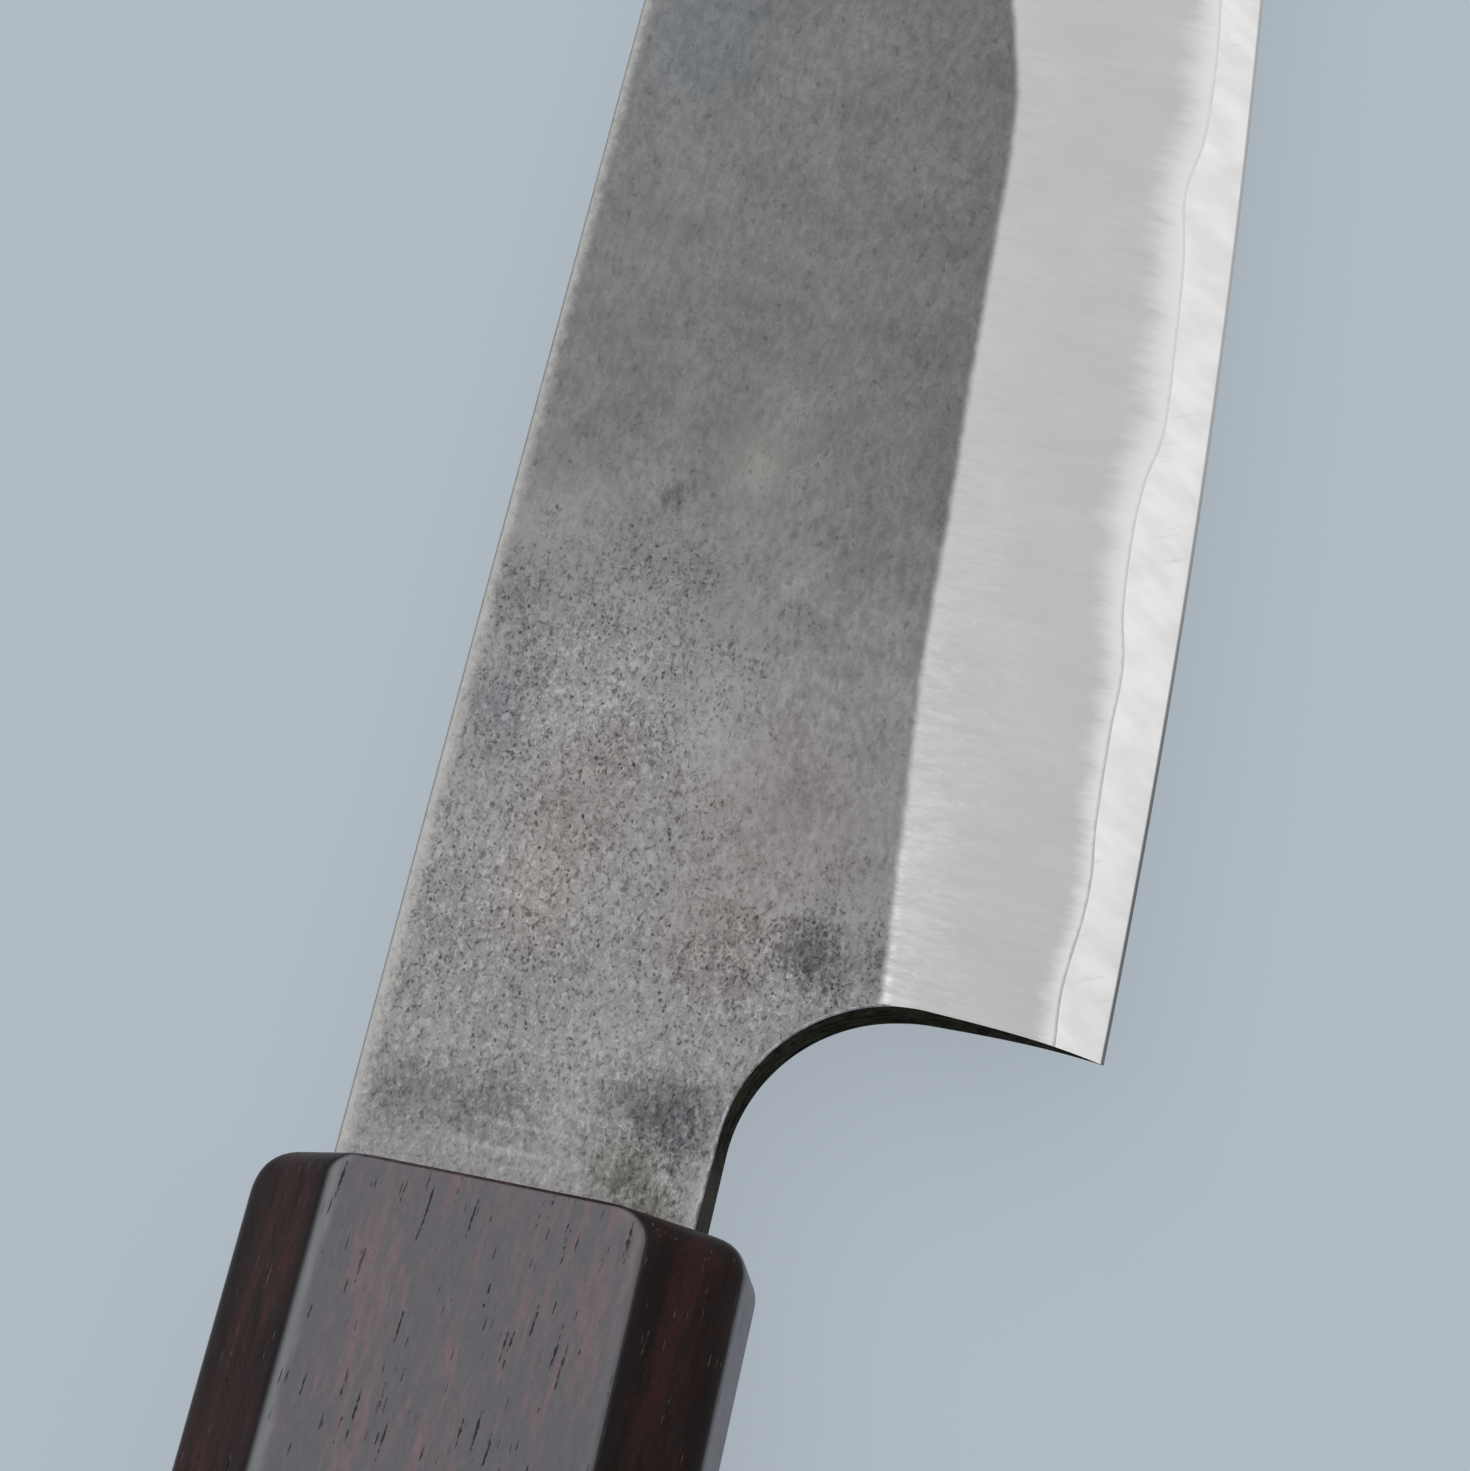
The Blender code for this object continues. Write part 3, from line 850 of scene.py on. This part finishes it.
def brushed_band(g, place, depth, strokes, near_heel):
    """How brushed the bevel is, most near the heel: in strokes at its top, in blocks a little lower."""
    blocks = g.streaks(place, (2.6, 0.9, 1.0), 1.0, 4.0, 0.8)
    in_strokes = g.times(g.fade(depth, *STROKES_BAND), g.fade(strokes, 0.34, 0.68))
    in_blocks = g.times(g.fade(blocks, 0.5, 0.64), g.fade(depth, *BLOCKS_BAND, 0.0, 0.7))
    return g.times(g.larger(in_strokes, in_blocks), g.fade(near_heel, 0.0, 1.0, 0.25, 1.0))


def haze_band(g, place, above_line, strokes, near_heel):
    """How hazy the bevel is above the cladding's line, up to a wavering height that falls to the heel."""
    reach = g.streaks(place, (1.1, 0.1, 1.0), 0.7, 4.0, 0.75)
    reach = g.times(reach, 2.0, g.fade(near_heel, 0.0, 1.0, 2.0, 1.0))
    return g.fade(g.plus(above_line, centred(g, strokes, 0.8)), reach, 0.0)


def ground_bevel(g, place, x, above_shinogi):
    """Colour of the ground bevel, and its fine lines square to the edge."""
    above_line = g.attribute("above_line")
    near_heel = g.fade(x, *NEAR_HEEL_AT)
    lines = g.streaks(place, (7.0, 0.16, 1.0), 1.0, 3.0, 0.6)
    strokes = g.streaks(place, (3.0, 0.7, 1.0), 1.0, 4.0, 0.75)
    patches = g.streaks(place, (1.0, 0.5, 1.0), 0.5, 3.0, 0.6)
    colour = g.tint(g.mix(lines, BEVEL_DARK, BEVEL_LIGHT), g.mix(patches, grey(0.93), grey(1.07)))
    depth = g.plus(above_shinogi, centred(g, patches, 5.0))
    brushed = brushed_band(g, place, depth, strokes, near_heel)
    colour = g.mix(g.times(brushed, 0.65), colour, BRUSHED)
    haze = haze_band(g, place, above_line, strokes, near_heel)
    colour = g.mix(g.times(haze, 0.9), colour, HAZE)
    glint = g.times(g.fade(above_shinogi, *GLINT_BAND), g.fade(x, *GLINT_AT), g.fade(strokes, 0.42, 0.68))
    colour = g.mix(glint, colour, GLINT)
    scratch = g.times(g.fade(strokes, 0.29, 0.24), g.fade(patches, 0.5, 0.6))
    colour = g.mix(g.times(scratch, 0.35), colour, BEVEL_SCRATCH)
    line_height = g.plus(above_line, centred(g, g.noise(place, 2.2, 3.0, 0.7), 0.16))
    line_colour = g.mix(near_heel, LINE_AHEAD, LINE_AT_HEEL)
    return g.mix(g.fade(line_height, *LINE_BAND), colour, line_colour), lines


def forged_steel(name, marked):
    """Cladding: a dark mottled flat as forged, a bright ground bevel, and a worn corner at the spine."""
    g = Graph(name)
    place = g.place()
    x, _, _ = g.parts(place)
    above_shinogi = g.attribute("above_shinogi")
    flat, relief = forged_flat(g, place, x, above_shinogi, marked)
    ground, lines = ground_bevel(g, place, x, above_shinogi)

    border = g.plus(above_shinogi, centred(g, g.noise(place, 1.3, 3.0, 0.6), 0.24))
    on_flat = g.fade(border, *FLAT_BEGINS)
    frayed = g.plus(g.attribute("below_spine"), centred(g, g.noise(place, 2.2, 4.0, 0.75), 0.9))
    rubbed = g.times(g.fade(frayed, g.fade(x, *WIDE_RUB_AT, *RUB_WIDTHS), RUB_FULL), 0.8)
    colour = g.tint(g.mix(rubbed, g.mix(on_flat, ground, flat), SPINE_RUBBED), STEEL_TINT)

    rough = g.fade(on_flat, 0.0, 1.0, 0.36, 0.52)
    uneven = g.bump(relief, FLAT_RELIEF, 0.4)
    normal = g.bump(g.times(lines, g.minus(1.0, on_flat)), BRUSH_RELIEF, 0.2, uneven)
    return g.finish(Base_Color=colour, Roughness=rough, Normal=normal, Metallic=0.85)


def core_steel(name):
    """Core: bright along the edge, with soft smudges and slanting scratches, painted shade at its very
    edge.
    """
    g = Graph(name)
    place = g.place()
    x, _, _ = g.parts(place)
    smudge = g.streaks(g.turn(place, SMUDGE_TURN), (0.7, 0.3, 1.0), 1.2, 2.0, 0.5)
    rising = g.streaks(g.turn(place, RISING_TURN), (2.6, 0.2, 1.0), 1.0, 3.0)
    falling = g.streaks(g.turn(place, FALLING_TURN), (3.4, 0.2, 1.0), 1.3, 3.0)
    colour = g.mix(g.fade(smudge, 0.3, 0.7), CORE_SMUDGE, CORE_BRIGHT)
    colour = g.tint(colour, varied(g, rising, 0.35, 0.65, 0.015), varied(g, falling, 0.35, 0.65, 0.01))
    colour = g.mix(g.times(g.fade(falling, 0.33, 0.28), 0.25), colour, CORE_SCRATCH)
    # Painted shade along the very edge, darker towards the heel
    edge_shade = g.mix(g.fade(x, *EDGE_SHADE_AT), EDGE_SHADE_AHEAD, EDGE_SHADE_AT_HEEL)
    colour = g.mix(g.fade(g.attribute("above_edge"), *EDGE_SHADE_BAND), colour, edge_shade)
    normal = g.bump(rising, BRUSH_RELIEF, 0.15)
    return g.finish(Base_Color=g.tint(colour, STEEL_TINT), Roughness=0.36, Normal=normal, Metallic=0.9)


def wall_steel(name):
    """The wall of choil and neck: nearly black, with faint lines along it, lighter at the neck."""
    g = Graph(name)
    place = g.place()
    x, _, _ = g.parts(place)
    stain = g.noise(place, 1.6, 4.0, 0.7)
    drawn = g.streaks(place, (0.35, 0.35, 5.0), 1.0, 3.0, 0.7)
    share = g.plus(g.times(stain, 0.5), g.times(drawn, 0.5))
    colour = g.mix(g.fade(share, 0.38, 0.66), WALL_DARK, WALL_LIGHT)
    colour = g.mix(g.fade(x, *PALE_WALL_AT, 0.0, 0.6), colour, WALL_AT_NECK)
    flecks = g.streaks(place, (1.6, 1.6, 4.0), 1.6, 2.0, 0.6)
    colour = g.mix(g.fade(flecks, 0.7, 0.75), colour, WALL_FLECK)
    rough = g.fade(stain, 0.2, 0.8, 0.55, 0.75)
    normal = g.bump(g.noise(place, 6.0, 2.0), WALL_RELIEF, 0.3)
    return g.finish(Base_Color=colour, Roughness=rough, Normal=normal, Specular_IOR_Level=0.0)


def rim_steel(name):
    """The worn corner round choil and neck, rubbed bright in places."""
    g = Graph(name)
    rubbed = g.noise(g.place(), 1.8, 4.0, 0.75)
    colour = g.mix(g.fade(rubbed, 0.4, 0.66), RIM_DULL, RIM_RUBBED)
    rough = g.fade(rubbed, 0.3, 0.7, 0.5, 0.4)
    normal = g.bump(rubbed, RIM_RELIEF, 0.3)
    return g.finish(Base_Color=colour, Roughness=rough, Normal=normal, Metallic=0.8)


# Colours of the wood: dark, and reddish for its streaks; on the broad faces greyer and lighter, a painted
# sheen
SLOPE_WOOD = (rgb(0.0215, 0.0104, 0.0092), rgb(0.032, 0.012, 0.0102))
FACE_WOOD_AND_SHEEN = (rgb(0.046, 0.036, 0.046), rgb(0.094, 0.048, 0.054))
END_WOOD = (rgb(0.014, 0.009, 0.009), rgb(0.04, 0.02, 0.017))
SLOPE_SHADE = grey(0.012, (0.95, 1.0, 1.05))
# Painted highlight along the ridges of the broad faces
RIDGE_HIGHLIGHT = grey(0.19, (0.97, 1.0, 1.08))
OPEN_PORE = grey(0.004)
DUSTY_PORE = grey(0.12, (1.15, 0.97, 0.85))
DOWEL_WOOD = (rgb(0.36, 0.25, 0.14), rgb(0.55, 0.4, 0.25))
AMBER = (rgb(0.42, 0.34, 0.2), rgb(0.62, 0.55, 0.4))

# The grain's slant to the handle, and each block's place in it, in millimetres
GRAIN_LEAN = math.radians(3.5)
FERRULE_GRAIN = (0.0, 0.0, 0.0)
BODY_GRAIN = (17.0, 5.3, 8.9)

# Specular level of the waxed faces, of the duller slopes and of the sawn ends
FACE_GLOSS = 0.8
SLOPE_GLOSS = 0.13
END_GLOSS = 0.5

# Where the handle's colour changes, in millimetres: by y, and by the distance to the nearest ridge
REDDER_AT = (2.0, -5.0)
# Painted light on the slopes of the spine's side, painted shade on those of the edge's side
SLOPE_LIGHT_AT = (3.0, -3.0)
# The painted highlight along the ridges: its strength by y, and its band by distance to the ridge
RIDGE_HIGHLIGHT_AT = (-2.0, 2.0)
RIDGE_HIGHLIGHT_BAND = (0.72, 0.15)
SHADE_BAND = (0.85, 0.3)


def wood_colours(g, place, y, woods, fibre, fine):
    """Dark wood with thin reddish streaks along the handle, and fine fibres."""
    wander = g.streaks(place, (0.06, 0.4, 0.4), 1.0, 2.0)
    streak = g.streaks(place, (0.3, 1.9, 1.9), 1.0, 3.0, 0.6, 0.9)
    leathery = g.streaks(place, (2.6, 4.2, 4.2), 1.0, 3.0, 0.8, 0.8)
    share = g.plus(g.times(streak, 0.6), g.times(wander, 0.4), g.fade(y, *REDDER_AT, 0.0, 0.03))
    return g.tint(
        g.mix(g.fade(share, 0.49, 0.62), *woods),
        varied(g, fibre, 0.25, 0.75, 0.12),
        varied(g, fine, 0.25, 0.75, 0.12),
        varied(g, leathery, 0.3, 0.7, 0.16),
    )


def slope_colour(g, place, y, ridge, fibre, fine):
    """The slopes: dark and patchy, with painted light on the spine's side and painted shade along their
    ridges.
    """
    colour = wood_colours(g, place, y, SLOPE_WOOD, fibre, fine)
    patch = g.streaks(place, (0.16, 0.8, 0.8), 1.0, 3.0, 0.65)
    # Painted light and shade: the slopes lighter on the spine's side, darker on the edge's side
    level = g.mix(g.fade(y, *SLOPE_LIGHT_AT), grey(1.2), grey(0.85))
    colour = g.tint(colour, varied(g, patch, 0.36, 0.62, 0.3), level)
    return g.mix(g.fade(ridge, *SHADE_BAND, 0.0, 0.5), colour, SLOPE_SHADE)


def sheened_face_colour(g, place, y, ridge, fibre, fine):
    """Broad faces: a greyish painted sheen, and a painted highlight along the ridges, most on the spine's
    side.
    """
    colour = wood_colours(g, place, y, FACE_WOOD_AND_SHEEN, fibre, fine)
    wavy = g.streaks(place, (0.5, 1.6, 1.6), 1.0, 3.0, 0.7)
    near_ridge = g.plus(ridge, centred(g, wavy, 0.6))
    # Painted highlight along the ridges, strongest on the spine's side
    ridge_highlight = g.times(g.fade(near_ridge, *RIDGE_HIGHLIGHT_BAND), g.fade(y, *RIDGE_HIGHLIGHT_AT, 0.12, 0.75))
    return g.mix(ridge_highlight, colour, RIDGE_HIGHLIGHT)


def wood_pores(g, place):
    """Open pores along the grain, long ones and short ones, and a random number for their filling."""
    broken = g.streaks(place, (2.8, 9.0, 9.0), 1.0, 2.0, 0.7)
    distance, chance = g.cells(g.scale(place, (0.23, 3.6, 3.6)), 1.0)
    ragged = g.plus(distance, centred(g, broken, 0.7))
    long_pores = g.times(g.fade(ragged, 0.18, 0.07), g.fade(chance, 0.5, 0.54))
    distance, luck = g.cells(g.scale(place, (0.75, 7.0, 7.0)), 1.0)
    ragged = g.plus(distance, centred(g, broken, 0.5))
    short_pores = g.times(g.fade(ragged, 0.24, 0.1), g.fade(luck, 0.76, 0.9, 0.0, 0.8))
    return g.larger(long_pores, short_pores), g.plus(chance, luck)


def rosewood(name, offset, gloss):
    """Waxed rosewood: a greyish painted sheen on the broad faces, a painted highlight along the ridges,
    dark slopes.

    The offset, in millimetres, gives each block its own grain.
    """
    g = Graph(name)
    whole = g.place()
    _, y, _ = g.parts(whole)
    place = g.turn(g.shift(whole, offset), GRAIN_LEAN)
    ridge = g.attribute("ridge")
    broad = g.attribute("broad")
    fibre = g.streaks(place, (1.1, 5.0, 5.0), 1.0, 2.0, 0.75, 0.5)
    fine = g.streaks(place, (4.0, 10.0, 10.0), 1.0, 2.0, 0.6)
    slope = slope_colour(g, place, y, ridge, fibre, fine)
    face = sheened_face_colour(g, place, y, ridge, fibre, fine)
    pores, luck = wood_pores(g, place)
    least = g.fade(broad, 0.0, 1.0, 1.15, 1.62)
    filling = g.mix(g.fade(luck, least, g.plus(least, 0.08)), OPEN_PORE, DUSTY_PORE)
    # The broad faces take the wood colour with its painted sheen, the slopes the dark one
    colour = g.mix(g.times(pores, 0.95), g.mix(broad, slope, face), filling)
    rough = g.plus(g.fade(fibre, 0.3, 0.7, 0.42, 0.36), g.times(pores, 0.5))
    height = g.plus(g.times(fibre, 0.15), g.times(fine, 0.12))
    normal = g.bump(g.minus(height, pores), WOOD_RELIEF, 0.6)
    return g.finish(Base_Color=colour, Roughness=rough, Normal=normal, Specular_IOR_Level=gloss)


def end_grain(name):
    """The sawn ends of the wood: dark, with growth rings and fine pores."""
    g = Graph(name)
    place = g.place()
    rings = g.streaks(place, (0.1, 0.5, 1.6), 1.0, 3.0, 0.6, 0.6)
    fine = g.streaks(place, (1.0, 6.0, 6.0), 1.0, 3.0, 0.7)
    share = g.plus(g.times(rings, 0.7), g.times(fine, 0.3))
    distance, chance = g.cells(g.scale(place, (0.2, 3.2, 3.2)), 1.0)
    pores = g.times(g.fade(distance, 0.24, 0.14), g.fade(chance, 0.4, 0.5))
    colour = g.mix(pores, g.mix(g.fade(share, 0.38, 0.62), *END_WOOD), OPEN_PORE)
    rough = g.fade(share, 0.3, 0.7, 0.5, 0.62)
    normal = g.bump(g.minus(g.times(fine, 0.3), pores), END_RELIEF, 0.5)
    return g.finish(Base_Color=colour, Roughness=rough, Normal=normal, Specular_IOR_Level=END_GLOSS)


def pale_wood(name):
    """Bare turned hardwood."""
    g = Graph(name)
    grain = g.streaks(g.place(), (0.06, 1.0, 1.0), 2.5, 4.0, 0.6)
    rough = g.fade(grain, 0.3, 0.7, 0.6, 0.75)
    normal = g.bump(grain, DOWEL_RELIEF, 0.4)
    return g.finish(Base_Color=g.mix(grain, *DOWEL_WOOD), Roughness=rough, Normal=normal)


def set_adhesive(name):
    """Amber adhesive, cloudy with small bubbles."""
    g = Graph(name)
    place = g.place()
    cloud = g.noise(place, 0.8, 3.0, 0.6)
    distance, _ = g.cells(place, 0.9)
    rough = g.fade(cloud, 0.3, 0.7, 0.25, 0.4)
    normal = g.bump(g.fade(distance, 0.12, 0.2), BUBBLE_RELIEF, 0.5)
    return g.finish(Base_Color=g.mix(cloud, *AMBER), Roughness=rough, Normal=normal)


def build_blade():
    """The three layers of the blade, each cut from its ground form by the blank."""
    right = forged_steel("right flat and bevel", True)
    left = forged_steel("left flat and bevel", False)
    edge = core_steel("bright core")
    wall = wall_steel("choil wall")
    rim = rim_steel("choil rim")
    blank_form = blank()
    layers = (
        ("right_cladding", "cladding_right", cladding_section, 1, "cladding_steel", right),
        ("left_cladding", "cladding_left", cladding_section, -1, "cladding_steel", left),
        ("core", "blade_core", core_section, 1, "core_steel", edge),
    )
    for name, node, section, side, slot, finish in layers:
        layer = blade_form(name, section, side)
        cut(layer, "INTERSECT", blank_form)
        mark_blade(layer)
        set_materials(layer, finish, wall, rim)
        mark_wall(layer)
        smooth(layer)
        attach(layer, "root")
        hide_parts(node)
    bpy.data.objects.remove(blank_form, do_unlink=True)


def build_handle():
    """Ferrule and handle body, parted from one octagonal bar, with the holes that they share."""
    ends = end_grain("rosewood ends")
    wide = HANDLE_REAR_HEIGHT
    mouth = recess()
    dowel_bore = bore("dowel_bore", DOWEL_REAR_X - BORE_FIT, DOWEL_FRONT_X + BORE_FIT, DOWEL_DIAMETER)
    tang_hole = bore("tang_hole", TANG_HOLE_X - BORE_FIT, DOWEL_FRONT_X, TANG_HOLE_DIAMETER)
    front_side = cuboid("front_side", (JOINT_X, -wide, -wide), (MARGIN, wide, wide))
    rear_side = cuboid("rear_side", (BUTT_X - MARGIN, -wide, -wide), (JOINT_X - JOINT_GAP, wide, wide))
    blocks = (
        ("wood_ferrule", "ferrule", front_side, (dowel_bore, mouth), FERRULE_GRAIN),
        ("wood_body", "handle_body", rear_side, (tang_hole, dowel_bore), BODY_GRAIN),
    )
    for name, node, side, holes, offset in blocks:
        waxed = rosewood(name + " broad faces", offset, FACE_GLOSS)
        duller = rosewood(name + " slopes", offset, SLOPE_GLOSS)
        block = octagon_bar(name, (waxed, duller, ends))
        cut(block, "INTERSECT", side)
        for hole in holes:
            cut(block, "DIFFERENCE", hole)
        mark_handle(block)
        smooth(block)
        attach(block, "root")
        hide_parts(node)
    for cutter in (mouth, dowel_bore, tang_hole, front_side, rear_side):
        bpy.data.objects.remove(cutter, do_unlink=True)


def dress_inner_parts():
    """Better materials for the two pieces hidden in the handle."""
    finishes = {"handle_dowel": pale_wood("turned dowel"), "tang_adhesive": set_adhesive("plug")}
    for node, finish in finishes.items():
        set_materials(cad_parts[node], finish)


# Floor and backdrop. The floor's share of plain colour grows to one between two distances.
FLOOR_SIZE = 8.0
BACKGROUND = rgb(0.447, 0.505, 0.558)
FLOOR_COLOUR = rgb(0.535, 0.603, 0.668)
FLOOR_ROUGHNESS = 0.9
FLOOR_GLOSS = 0.1
FLAT_SHARE = 0.76
FLAT_AT = (0.2, 0.7)

# Light of the sky, at the horizon and overhead, and the lamp
SKY_LOW = 0.1
SKY_HIGH = 0.45
LAMP_DIRECTION = Vector((0.3, 0.1, 0.95))
LAMP_DISTANCE = 0.6
LAMP_SIZE = 0.9
LAMP_RADIANCE = 1.2

# Camera, in the knife's own frame
IMAGE_WIDTH = 1470
CAMERA_PLACE = Vector((-17.086, -20.36, 130.531)) * MM
CAMERA_AIM = Vector((21.818, -4.002, 0.0)) * MM
CAMERA_UP = Vector((0.93229, 0.19806, 0.30268))
CAMERA_FOCAL_PIXELS = 3201.8
CAMERA_NEAREST = 1.0 * MM
SENSOR_WIDTH = 36.0


def seen(g):
    """One for rays that come from the camera, a reflection or glass, and zero for others."""
    path = g.add("LightPath", {})
    rays = ("Is Camera Ray", "Is Glossy Ray", "Is Transmission Ray")
    return g.larger(*[path.outputs[ray] for ray in rays])


def flatness(g):
    """How much of the floor is its plain colour: most of it near the knife, and all of it far away."""
    away = g.length(g.add("TexCoord", {}).outputs["Object"])
    return g.fade(away, *FLAT_AT, FLAT_SHARE, 1.0)


def floor():
    """A pale matt floor. Part of what is seen is its plain colour, which keeps its shadow light."""
    bpy.ops.mesh.primitive_plane_add(size=FLOOR_SIZE, location=(0.0, 0.0, 0.0))
    plane = bpy.context.object
    plane.name = "floor"
    g = Graph("pale floor")
    g.finish(Base_Color=FLOOR_COLOUR, Roughness=FLOOR_ROUGHNESS, Specular_IOR_Level=FLOOR_GLOSS)
    matt = g.nodes["Principled BSDF"].outputs[0]
    plain = g.add("Emission", {"Color": BACKGROUND}).outputs[0]
    surface = g.blend(g.times(seen(g), flatness(g)), matt, plain)
    g.feed(g.nodes["Material Output"].inputs["Surface"], surface)
    set_materials(plane, g.owner)


def sky():
    """Soft light from all round, dimmer near the horizon, seen and mirrored as a pale backdrop."""
    g = Graph("studio", "worlds")
    _, _, rise = g.parts(g.add("TexCoord", {}).outputs["Generated"])
    level = g.add("MapRange", {"Value": rise, "To Min": SKY_LOW, "To Max": SKY_HIGH}).outputs["Result"]
    light = g.nodes["Background"]
    g.feed(light.inputs["Color"], WHITE)
    g.feed(light.inputs["Strength"], level)
    backdrop = g.add("Background", {"Color": BACKGROUND})
    surface = g.blend(seen(g), light.outputs[0], backdrop.outputs[0])
    g.feed(g.nodes["World Output"].inputs["Surface"], surface)
    bpy.context.scene.world = g.owner


def lamp():
    """One large soft lamp above the knife, a little towards spine and tip."""
    data = bpy.data.lights.new("softbox", "AREA")
    data.shape = "SQUARE"
    data.size = LAMP_SIZE
    data.energy = LAMP_RADIANCE * math.pi * LAMP_SIZE**2
    made = add_object("softbox", data)
    direction = LAMP_DIRECTION.normalized()
    made.location = direction * LAMP_DISTANCE
    made.rotation_euler = direction.to_track_quat("Z", "Y").to_euler()


def camera():
    """The camera at the photograph's angle."""
    data = bpy.data.cameras.new("camera")
    data.sensor_fit = "HORIZONTAL"
    data.sensor_width = SENSOR_WIDTH
    data.lens = SENSOR_WIDTH * CAMERA_FOCAL_PIXELS / IMAGE_WIDTH
    data.clip_start = CAMERA_NEAREST
    made = add_object("camera", data)
    back = (CAMERA_PLACE - CAMERA_AIM).normalized()
    right = CAMERA_UP.cross(back).normalized()
    up = back.cross(right)
    turn = Matrix((right, up, back)).transposed()
    made.matrix_world = Matrix.Translation(ORIGIN + CAMERA_PLACE) @ turn.to_4x4()
    bpy.context.scene.camera = made


def main():
    bpy.context.scene.view_settings.view_transform = "Standard"
    camera()
    floor()
    sky()
    lamp()
    build_blade()
    build_handle()
    dress_inner_parts()


main()
